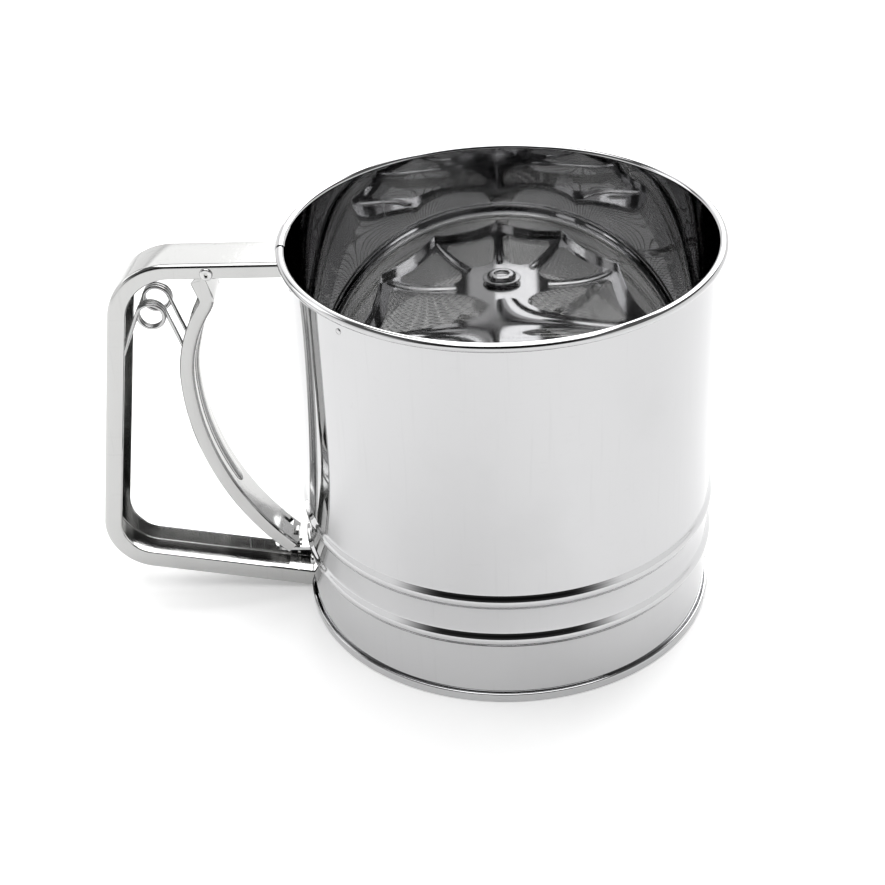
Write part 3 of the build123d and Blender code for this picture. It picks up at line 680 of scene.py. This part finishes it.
# %% Path helpers
def bent_path(corners, radii, long_step=3.0 * mm, turn_step=3.0):
    """Points and directions along straight runs joined by arcs, in the side view."""
    path = []
    start = Vector(corners[0])
    for i in range(1, len(corners)):
        corner = Vector(corners[i])
        along = (corner - start).normalized()
        if i < len(corners) - 1:
            on = (Vector(corners[i + 1]) - corner).normalized()
            angle = along.angle(on)
            reach = radii[i - 1] * math.tan(angle / 2)
        else:
            on, angle, reach = along, 0.0, 0.0
        end = corner - along * reach
        steps = max(2, round((end - start).length / long_step))
        for k in range(steps + (i == len(corners) - 1)):
            path.append((start.lerp(end, k / steps), along))
        if angle:
            side = 1.0 if along.cross(on) > 0 else -1.0
            inward = Vector((-along.y, along.x)) * side
            hub = end + inward * radii[i - 1]
            bends = max(3, round(math.degrees(angle) / turn_step))
            for k in range(bends):
                spin = side * angle * k / bends
                cosine, sine = math.cos(spin), math.sin(spin)
                arm = -inward * radii[i - 1]
                arm = Vector((arm.x * cosine - arm.y * sine, arm.x * sine + arm.y * cosine))
                way = Vector((along.x * cosine - along.y * sine, along.x * sine + along.y * cosine))
                path.append((hub + arm, way))
            start = corner + on * reach
    return path


def channel_section(width, depth, thickness, bend):
    """A U's closed outline as (sideways, inward), rounded at both bends and at its lips."""
    half = width / 2
    lip = 0.3 * thickness
    inner_bend = max(bend - thickness, 0.15 * mm)
    web = thickness
    return (
        [(-half, depth - lip)]
        + arc((-half + bend, bend), bend, 180, 90, 8)
        + arc((half - bend, bend), bend, 270, 90, 8)
        + [(half, depth - lip), (half - lip, depth), (half - thickness + lip, depth)]
        + [(half - thickness, depth - lip)]
        + arc((half - thickness - inner_bend, web + inner_bend), inner_bend, 0, -90, 6)
        + arc((-half + thickness + inner_bend, web + inner_bend), inner_bend, 270, -90, 6)
        + [(-half + thickness, depth - lip), (-half + thickness - lip, depth), (-half + lip, depth)]
    )


def side_point(reach, sideways, rise):
    """A place in the frame from the distance out along the handle."""
    return (-reach, sideways, rise)


# %% Handle strip
handle_low, handle_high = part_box("handle_channel")
handle_width = handle_high.y - handle_low.y
handle_top = handle_high.z
wall_radius = outer_wall
top_corner = (wall_radius + 44.9 * mm, handle_top)
low_corner = (wall_radius + 59.2 * mm, 9.9 * mm)
foot = (wall_radius, 0.3 * mm)
corner_radii = (17.5 * mm, 14.0 * mm)
depths = (4.1 * mm, 4.9 * mm, 5.2 * mm)
strip = 0.8 * mm
handle_bend = 1.2 * mm

handle_path = bent_path(((wall_radius, handle_top), top_corner, low_corner, foot), corner_radii)
grip_slope = math.atan2(low_corner[0] - top_corner[0], top_corner[1] - low_corner[1])


def handle_depth(way):
    """The flanges' depth, from the direction of the bar that the strip is in."""
    turned_down = math.atan2(-way.y, way.x)
    at_grip = math.pi / 2 - grip_slope
    at_foot = math.atan2(low_corner[1] - foot[1], -(low_corner[0] - foot[0]))
    if turned_down < at_grip:
        share = turned_down / at_grip
        return depths[0] + (depths[1] - depths[0]) * share
    share = (turned_down % (2 * math.pi) - at_grip) / (abs(at_foot) - at_grip)
    return depths[1] + (depths[2] - depths[1]) * min(share, 1.0)


def wall_reach(y, z):
    """How far out the cup's outside lies at a sideways offset and a height."""
    radius = hem_outer + 0.05 * mm if z < hem_top + 0.05 * mm else wall_radius + 0.02 * mm
    return math.sqrt(radius ** 2 - y ** 2)


rings = []
last = len(handle_path) - 1
for i, (place, way) in enumerate(handle_path):
    inward = Vector((way.y, -way.x))
    ring = []
    for sideways, depth in channel_section(handle_width, handle_depth(way), strip, handle_bend):
        spot = place + inward * depth
        if i in (0, last):
            spot += way * ((wall_reach(sideways, spot.y) - spot.x) / way.x)
        ring.append(side_point(spot.x, sideways, spot.y))
    rings.append(ring)
handle = mesh_piece("handle_strip", *carried(rings), strip_steel)
settle(handle, "cup", "polished_steel", "handle_channel")

# %% [markdown]
# ## The trigger
# The trigger is another bent channel, but its web faces the cup and its flanges face the grip. A short
# neck leans in from the pivot, turns sharply at a kink, bows out to the belly and comes back in one long
# arc to the link. A rib pressed along the web stiffens it and ends in a round boss. Two ears reach up to
# the rivet, and a small window is cut beside the lower end.

# %% Trigger channel
joints = {joint["name"]: joint for joint in frame["joints"]}
pivot = Vector(joints["trigger_squeeze"]["pos_m"])
pivot_side = Vector((-pivot.x, pivot.z))
trigger_width = 11.0 * mm
trigger_depth = 3.8 * mm
trigger_bend = 1.1 * mm
kink = pivot_side + Vector((-1.4, -9.4)) * mm
belly = pivot_side + Vector((6.8, -32.9)) * mm
neck_top = pivot_side + Vector((1.0, -2.1)) * mm
web_end = Vector((-link_low.x - 7.1 * mm, link_high.z + 3.2 * mm))
kink_radius = 5.0 * mm


def belly_arc(tip):
    """Radius and centre of the arc that stands upright at the belly and passes through a tip."""
    across, rise = belly.x - tip.x, belly.y - tip.y
    radius = (across ** 2 + rise ** 2) / (2 * across)
    return radius, Vector((belly.x - radius, belly.y))


def down_arc(tip, first, final, steps):
    """Points and directions down an arc, between two heights as angles below the belly."""
    radius, hub = belly_arc(tip)
    path = []
    for i in range(steps + 1):
        angle = first + (final - first) * i / steps
        spot = hub + Vector((math.cos(angle), -math.sin(angle))) * radius
        path.append((spot, Vector((-math.sin(angle), -math.cos(angle)))))
    return path


upper_radius, upper_hub = belly_arc(kink)
lower_radius, lower_hub = belly_arc(web_end)
kink_angle = -math.atan2(kink.y - upper_hub.y, kink.x - upper_hub.x)
end_angle = math.atan2(lower_hub.y - web_end.y, web_end.x - lower_hub.x)
kink_way = Vector((-math.sin(kink_angle), -math.cos(kink_angle)))
neck = bent_path((neck_top, kink, kink + kink_way * 8 * mm), (kink_radius,), turn_step=5.0)
neck_length = kink_radius * math.tan((kink - neck_top).angle(kink_way) / 2)
neck = [(spot, way) for spot, way in neck if (spot - kink).dot(kink_way) < neck_length]
upper_start = kink_angle + neck_length / upper_radius
trigger_path = (
    neck
    + down_arc(kink, upper_start, 0.0, 14)[:-1]
    + down_arc(web_end, 0.0, end_angle, 40)
)
rings = []
for spot, way in trigger_path:
    outward = Vector((-way.y, way.x))
    rings.append([
        side_point((spot + outward * depth).x, sideways, (spot + outward * depth).y)
        for sideways, depth in channel_section(trigger_width, trigger_depth, strip, trigger_bend)
    ])

# The window is cut while the channel is a single skin, before the other parts join it.
window_angle = math.radians(42.4)
window_spot = lower_hub + Vector((math.cos(window_angle), -math.sin(window_angle))) * lower_radius
window_size = Vector((3.6, 2.8, 3.6)) * mm
window_middle = Vector((-window_spot.x, 2.5 * mm, window_spot.y))
skin = mesh_piece("trigger_skin", *carried(rings), strip_steel)
cut(skin, window_middle - window_size / 2, window_middle + window_size / 2)
trigger_skin = (
    [tuple(point.co) for point in skin.data.vertices],
    [tuple(face.vertices) for face in skin.data.polygons],
)
bpy.data.objects.remove(skin)
print("trigger arcs of", round(upper_radius, 4), "and", round(lower_radius, 4), "m")


# %% Ears, rib, boss and tongue
def plate(outline, low_y, high_y, edge=0.12 * mm):
    """A flat plate in the side view, between two sideways offsets, with eased edges."""
    centre = sum((Vector(point) for point in outline), Vector((0, 0))) / len(outline)
    rings = []
    for y, shrink in ((low_y, edge), (low_y + edge, 0), (high_y - edge, 0), (high_y, edge)):
        ring = []
        for point in outline:
            spot = Vector(point) + (centre - Vector(point)).normalized() * shrink
            ring.append(side_point(spot.x, y, spot.y))
        rings.append(ring)
    return carried(rings)


ear_radius = 2.0 * mm
flange_top = neck_top + Vector((0.95, -0.31)) * trigger_depth
ear_foot = (kink + Vector((3.4, 1.0)) * mm, kink + Vector((0.5, 0.6)) * mm)
ear_outline = arc(pivot_side, ear_radius, 200, -215, 14)
ear_outline += [tuple(point) for point in (flange_top, *ear_foot, neck_top)]
half_trigger = trigger_width / 2
ear_inset = 0.05 * mm
ears = []
for side in (-1, 1):
    faces_y = sorted((side * (half_trigger - ear_inset), side * (half_trigger - strip + ear_inset)))
    ears.append(plate(ear_outline, *faces_y))
rib_width, rib_height = 4.2 * mm, 0.8 * mm
rib_root = 0.3 * mm
rib_end = math.radians(26.5)
rings = []
rib_path = down_arc(kink, upper_start + 0.05, 0.0, 12)[:-1] + down_arc(web_end, 0.0, rib_end, 24)
for i, (spot, way) in enumerate(rib_path):
    cupward = Vector((way.y, -way.x))
    fade = min(1.0, i / 5)
    ring = []
    for sideways, rise in arc((0.0, 0.0), 1.0, 0, 180, 10):
        point = spot + cupward * rib_height * fade * rise
        ring.append(side_point(point.x, sideways * rib_width / 2, point.y))
    for sideways in (-1, 1):
        point = spot - cupward * rib_root
        ring.append(side_point(point.x, sideways * rib_width / 2, point.y))
    rings.append(ring)
rib = carried(rings)

boss_hub = lower_hub + Vector((math.cos(rib_end), -math.sin(rib_end))) * lower_radius
boss_facing = Vector((-math.cos(rib_end), math.sin(rib_end)))
boss_radius, boss_height, boss_root = 1.9 * mm, 0.8 * mm, 0.4 * mm
boss_outline = [(0.0, -boss_root), (boss_radius, -boss_root)]
boss_outline += [(boss_radius * x, boss_height * y) for x, y in arc((0.0, 0.0), 1.0, 0, 90, 10)]
boss_points, boss_faces = spun(boss_outline, 32)
boss_points = [
    (
        -(boss_hub + boss_facing * rise).x + x * boss_facing.y,
        y,
        (boss_hub + boss_facing * rise).y + x * boss_facing.x,
    )
    for x, y, rise in boss_points
]
tongue_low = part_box("trigger")[0].z
tongue_high = web_end.y + 1.6 * mm
tongue_half = 1.2 * mm
tongue_outline = [
    (web_end.x, tongue_high),
    (web_end.x + strip, tongue_high),
    (web_end.x + strip, tongue_low),
    (web_end.x, tongue_low),
]
tongue = plate(rounded(tongue_outline, 0.15 * mm, 3), -tongue_half, tongue_half)

# %% The trigger as one piece
trigger = mesh_piece(
    "trigger_lever",
    *joined(trigger_skin, *ears, rib, (boss_points, boss_faces), tongue),
    strip_steel,
)
settle(trigger, "trigger", "polished_steel", "trigger")

# %% [markdown]
# ## The pivot rivet
# The trigger swings on a hollow rivet: a tube through both flanges with a rolled head on each side. Its
# outline is spun round the sideways axis.

# %% Rivet
pivot_low, pivot_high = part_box("trigger_pivot")
head_radius, shank_radius, bore_radius = 1.7 * mm, 1.0 * mm, 0.55 * mm
head_face = handle_width / 2 + 0.02 * mm
roll = 0.5 * mm
pivot_outline = (
    [(bore_radius, pivot_low.y + roll / 2)]
    + arc((head_radius - roll, pivot_low.y + roll), roll, -90, 90, 10)
    + [(head_radius - roll, -head_face), (shank_radius, -head_face)]
    + [(shank_radius, head_face), (head_radius - roll, head_face)]
    + arc((head_radius - roll, pivot_high.y - roll), roll, -90, 90, 10)
    + [(bore_radius, pivot_high.y - roll / 2)]
)
rivet = turned("pivot_rivet", pivot_outline, turned_steel, 40, centre=(pivot.x, pivot.z), axis="Y")
settle(rivet, "cup", "fastener_steel", "trigger_pivot")

# %% [markdown]
# ## The return spring
# A double torsion spring hangs between the grip bar and the trigger: a coil on each side and one leg
# bridging the trigger's channel. A wire is a curve with a round section, so its centre line is worked out
# by a formula and Geometry Nodes carry a circle along it.

# %% A tree that makes wire from a line
def wire_tree():
    """Carries a round section along the mesh's edges."""
    given = geometry_tree("wire_along_a_line", Radius=0.0005, Sides=12)
    smooth = add("GeometryNodeSetShadeSmooth")
    plug(tube(given["Geometry"], given["Radius"], given["Sides"]), smooth.inputs["Geometry"])
    return end_tree(smooth.outputs[0], given["Finish"])


# %% Spring line
spring_low, spring_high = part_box("return_spring")
wire_radius = 0.5 * mm
coil_radius = 3.5 * mm
coil_middle = pivot_side + Vector((16.0, -12.4)) * mm
coil_inner_y = 3.5 * mm
coil_pitch = 1.1 * mm
grip_leg_y = 4.0 * mm
leg_steps, grip_steps = 12, 18
grip_leg = Vector((-spring_low.x - wire_radius, spring_low.z + wire_radius))
trigger_leg = Vector((-spring_high.x + wire_radius, coil_middle.y - 14.0 * mm))


def leaving_angle(target, side):
    """Where on the coil a straight leg to a target leaves it."""
    reach = target - coil_middle
    return math.atan2(reach.y, reach.x) + side * math.acos(coil_radius / reach.length)


coil_start = leaving_angle(trigger_leg, -1) % (2 * math.pi)
coil_end = leaving_angle(grip_leg, 1) % (2 * math.pi)
coil_turn = 4 * math.pi + coil_start - coil_end
coil_steps = 110


def coil_line(side):
    """From the trigger's leg, round the coil, and down the grip bar's leg."""
    line = []
    for k in range(1, leg_steps):
        spot = trigger_leg.lerp(coil_spot(0.0), k / leg_steps)
        line.append(side_point(spot.x, side * coil_inner_y, spot.y))
    for k in range(coil_steps + 1):
        spot = coil_spot(k / coil_steps)
        y = side * (coil_inner_y + coil_pitch * coil_turn / (2 * math.pi) * k / coil_steps)
        line.append(side_point(spot.x, y, spot.y))
    outer_y = coil_inner_y + coil_pitch * coil_turn / (2 * math.pi)
    for k in range(1, grip_steps + 1):
        spot = coil_spot(1.0).lerp(grip_leg, k / grip_steps)
        y = side * (outer_y + (grip_leg_y - outer_y) * k / grip_steps)
        line.append(side_point(spot.x, y, spot.y))
    return line


def coil_spot(share):
    angle = coil_start - share * coil_turn
    return coil_middle + Vector((math.cos(angle), math.sin(angle))) * coil_radius


bridge_bend = 1.2 * mm
bridge = [
    side_point(trigger_leg.x, y, trigger_leg.y)
    for y in (-coil_inner_y + bridge_bend, 0.0, coil_inner_y - bridge_bend)
]
spring_line = coil_line(-1)[::-1] + bridge + coil_line(1)
spring_edges = [(k, k + 1) for k in range(len(spring_line) - 1)]
spring = grown(
    "torsion_spring",
    points_mesh("spring_line", spring_line, spring_edges),
    wire_tree(),
    radius=wire_radius,
    sides=14,
    finish=drawn_wire,
)
soften(spring.data, 50.0)
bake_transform(spring)
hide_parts("return_spring")
print("spring turns:", round(coil_turn / (2 * math.pi), 2))

# %% [markdown]
# ## The screen
# Flour sifters carry a plain weave of round wires: each wire goes over one neighbour and under the next.
# The crossing height is a product of two cosines, one along the wire and one across, so a single formula
# bends both sets of wires and they never meet. Geometry Nodes lay out the wires, trim them to the hoop
# and the bushing, bend them, and give them a section of four sides, enough for a wire so fine.

# %% A tree that weaves a round screen
def row_of_points(count, start, step):
    row = add("GeometryNodeMeshLine", mode="OFFSET")
    for label, value in (("Count", count), ("Start Location", start), ("Offset", step)):
        plug(value, row.inputs[label])
    return row.outputs[0]


def weave_tree():
    """A plain weave in a ring, with its middle at height zero."""
    given = geometry_tree(
        "woven_screen",
        Outer_Radius=0.05,
        Bore_Radius=0.003,
        Pitch=0.0014,
        Wires=80,
        Wire_Radius=0.000125,
        Height=0.0,
    )
    pitch, wires = given["Pitch"], given["Wires"]
    start = product(pitch, maths("SUBTRACT", wires, 1.0), -0.5)
    both = add("GeometryNodeJoinGeometry")
    for along, across, side in (("X", "Y", 1.0), ("Y", "X", -1.0)):
        twice = maths("SUBTRACT", product(wires, 2.0), 1.0)
        strand = row_of_points(twice, on_axis(start, along), on_axis(product(pitch, 0.5), along))
        row = row_of_points(wires, on_axis(start, across), on_axis(pitch, across))
        copies = add("GeometryNodeInstanceOnPoints")
        plug(row, copies.inputs["Points"])
        plug(strand, copies.inputs["Instance"])
        laid = add("GeometryNodeRealizeInstances")
        plug(copies.outputs[0], laid.inputs[0])
        where = add("ShaderNodeSeparateXYZ")
        plug(add("GeometryNodeInputPosition").outputs[0], where.inputs[0])
        x, y = where.outputs["X"], where.outputs["Y"]
        radius = maths("SQRT", maths("ADD", product(x, x), product(y, y)))
        too_far = maths("GREATER_THAN", radius, given["Outer Radius"])
        too_near = maths("LESS_THAN", radius, given["Bore Radius"])
        trimmed = add("GeometryNodeDeleteGeometry", domain="POINT")
        plug(laid.outputs[0], trimmed.inputs["Geometry"])
        plug(maths("MAXIMUM", too_far, too_near), trimmed.inputs["Selection"])
        waves = []
        for value in (x, y):
            phase = product(maths("SUBTRACT", value, start), math.pi)
            waves.append(maths("COSINE", maths("DIVIDE", phase, pitch)))
        rise = maths("ADD", product(*waves, given["Wire Radius"], side), given["Height"])
        bent = add("GeometryNodeSetPosition")
        plug(trimmed.outputs[0], bent.inputs["Geometry"])
        plug(on_axis(rise, "Z"), bent.inputs["Offset"])
        plug(tube(bent.outputs[0], given["Wire Radius"], 4), both.inputs[0])
    smooth = add("GeometryNodeSetShadeSmooth")
    plug(both.outputs[0], smooth.inputs["Geometry"])
    return end_tree(smooth.outputs[0], given["Finish"])


mesh_low, mesh_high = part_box("mesh_screen")
weave_pitch = 1.35 * mm
weave_wires = 2 * int(mesh_high.x / weave_pitch) + 1
screen = grown(
    "woven_screen",
    points_mesh("screen_middle", [(0.0, 0.0, 0.0)]),
    weave_tree(),
    outer_radius=mesh_high.x - 0.1 * mm,
    bore_radius=3.9 * mm,
    pitch=weave_pitch,
    wires=weave_wires,
    wire_radius=(mesh_high.z - mesh_low.z) / 4,
    height=(mesh_low.z + mesh_high.z) / 2,
    finish=woven_wire,
)
settle(screen, "cup", "woven_mesh", "mesh_screen")
screen.data.calc_loop_triangles()
print("screen wires:", 2 * weave_wires, "triangles:", len(screen.data.loop_triangles))

# %% [markdown]
# ## Hoops and hub
# Two hoops clamp the screen's edge: a flat one above, which shows, and a round wire below. On the axis
# stand the bushing's flange, the wheel's collar, a washer and the shaft's riveted head with its round
# recess. All of them are turned, so each is an outline with eased corners, spun once.

# %% Hoops
hoop_low, hoop_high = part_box("screen_hoop_upper")
hoop_width = 1.9 * mm
hoop_outline = rounded(
    [
        (hoop_high.x - hoop_width, hoop_low.z),
        (hoop_high.x, hoop_low.z),
        (hoop_high.x, hoop_high.z),
        (hoop_high.x - hoop_width, hoop_high.z),
    ],
    0.6 * mm,
)
hoop = turned("screen_hoop_top", hoop_outline, pressed_steel, 192)
settle(hoop, "cup", "polished_steel", "screen_hoop_upper")


def wire_ring(name, node, slot, sides, steps):
    """A ring of round wire that fills its node's box."""
    low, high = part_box(node)
    radius = (high.z - low.z) / 2
    outline = arc((high.x - radius, low.z + radius), radius, 0, 360 - 360 / sides, sides - 1)
    settle(turned(name, outline, drawn_wire, steps), "cup", slot, node)


wire_ring("screen_hoop_wire", "screen_hoop_lower", "polished_steel", 24, 192)
wire_ring("rim_core_wire", "rim_wire", "spring_wire", 12, 144)


# %% Rings on the axis
def axis_ring(name, node, bore, finish, body, slot, ease=0.2 * mm, steps=72):
    """A flat ring between its node's heights, with eased corners."""
    low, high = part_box(node)
    outline = rounded([(bore, low.z), (high.x, low.z), (high.x, high.z), (bore, high.z)], ease)
    settle(turned(name, outline, finish, steps), body, slot, node)


shaft = 2.5 * mm
running = 0.05 * mm
bushing = 3.7 * mm
axis_ring("collar", "hub_collar", shaft, pressed_steel, "agitator", "pressed_steel", 0.5 * mm)
axis_ring("top_washer", "hub_washer", shaft, turned_steel, "agitator", "fastener_steel", 0.25 * mm)
axis_ring("lower_washer", "thrust_washer", shaft + running, turned_steel, "agitator", "fastener_steel")
axis_ring("mesh_washer", "screen_washer", bushing, turned_steel, "cup", "fastener_steel")
axis_ring("bushing_lock", "bushing_ring", bushing, turned_steel, "cup", "fastener_steel")

bush_low, bush_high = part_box("hub_bushing")
bush_flange = 0.5 * mm
bush_outline = rounded(
    [
        (shaft + running, bush_low.z),
        (bushing, bush_low.z),
        (bushing, bush_high.z - bush_flange),
        (bush_high.x, bush_high.z - bush_flange),
        (bush_high.x, bush_high.z),
        (shaft + running, bush_high.z),
    ],
    0.2 * mm,
    4,
)
settle(turned("bushing", bush_outline, turned_steel, 72), "cup", "fastener_steel", "hub_bushing")

# %% The shaft's riveted ends
shaft_low, shaft_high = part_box("shaft_rivet")
head_radius = shaft_high.x
head_height, recess_depth, recess_radius = 1.6 * mm, 1.0 * mm, 2.0 * mm
foot_radius, foot_height = 3.4 * mm, 0.8 * mm
crown, recess_lip, ease = 1.1 * mm, 0.25 * mm, 0.3 * mm
shaft_outline = (
    [(0.0, shaft_low.z), (foot_radius - ease, shaft_low.z)]
    + arc((foot_radius - ease, shaft_low.z + ease), ease, -90, 90, 6)
    + [(foot_radius - ease, shaft_low.z + foot_height), (shaft, shaft_low.z + foot_height)]
    + [(shaft, shaft_high.z - head_height), (head_radius, shaft_high.z - head_height)]
    + arc((head_radius - crown, shaft_high.z - crown), crown, 0, 90, 10)
    + arc((recess_radius + recess_lip, shaft_high.z - recess_lip), recess_lip, 90, 90, 5)
    + arc((recess_radius - ease, shaft_high.z - recess_depth + ease), ease, 0, -90, 5)
    + [(0.0, shaft_high.z - recess_depth)]
)
shaft_piece = turned("shaft_and_head", shaft_outline, turned_steel, 72)
settle(shaft_piece, "agitator", "fastener_steel", "shaft_rivet")

# %% [markdown]
# ## Pressed and cut pieces
# The wheel, link, crank, cross bar and brackets come straight from the CAD frame, where their shapes were
# settled. A CAD mesh is loose triangles, so a copy is merged, its flat faces are joined, most edges are
# eased by a small bevel, and its normals are weighted by area, which keeps flat faces flat in a mirror.

# %% Eased copies of CAD pieces
def eased_copy(node, name, finish, body, slot, edge, flat=2.0):
    """A merged copy of a CAD node with eased edges, which stands for the node."""
    mesh = bpy.data.meshes.new(name)
    built = bmesh.new()
    built.from_mesh(nodes[node].data)
    bmesh.ops.remove_doubles(built, verts=built.verts, dist=2e-6)
    bmesh.ops.dissolve_degenerate(built, edges=built.edges, dist=2e-6)
    flat_angle = math.radians(flat)
    bmesh.ops.dissolve_limit(built, angle_limit=flat_angle, verts=built.verts, edges=built.edges)
    built.to_mesh(mesh)
    built.free()
    mesh.materials.clear()
    mesh.materials.append(finish)
    mesh.polygons.foreach_set("material_index", [0] * len(mesh.polygons))
    soften(mesh, 35.0)
    made = bpy.data.objects.new(name, mesh)
    bpy.context.scene.collection.objects.link(made)
    if edge:
        bevel = made.modifiers.new("edge", "BEVEL")
        bevel.width = edge
        bevel.segments = 2
        bevel.limit_method = "ANGLE"
        bevel.angle_limit = math.radians(40)
    weight = made.modifiers.new("normals", "WEIGHTED_NORMAL")
    weight.keep_sharp = True
    flatten(made)
    settle(made, body, slot, node)


eased_copy("agitator_wheel", "spoked_wheel", pressed_steel, "agitator", "pressed_steel", 0.12 * mm)
eased_copy("rim_seam_lap", "rim_lap", cup_mirror, "cup", "polished_steel", 0.0)
eased_copy("drive_link", "link_bar", pressed_steel, "link", "pressed_steel", 0.15 * mm)
eased_copy("low_bracket", "handle_foot_lining", strip_steel, "cup", "pressed_steel", 0.1 * mm)
eased_copy("crank_arm", "crank", pressed_steel, "agitator", "pressed_steel", 0.15 * mm)
eased_copy("crank_pin", "crank_stud", turned_steel, "agitator", "fastener_steel", 0.0)
eased_copy("crank_clip", "stud_clip", turned_steel, "agitator", "fastener_steel", 0.1 * mm)
eased_copy("cross_bar", "bearing_bar", pressed_steel, "cup", "pressed_steel", 0.15 * mm)
eased_copy("slot_plate", "slot_stiffener", pressed_steel, "cup", "pressed_steel", 0.1 * mm)
nodes["slot_plate_rivets"].data.materials.clear()
nodes["slot_plate_rivets"].data.materials.append(turned_steel)
shown = [name for name, node in nodes.items() if not node.hide_render]
print("CAD nodes still shown:", shown)
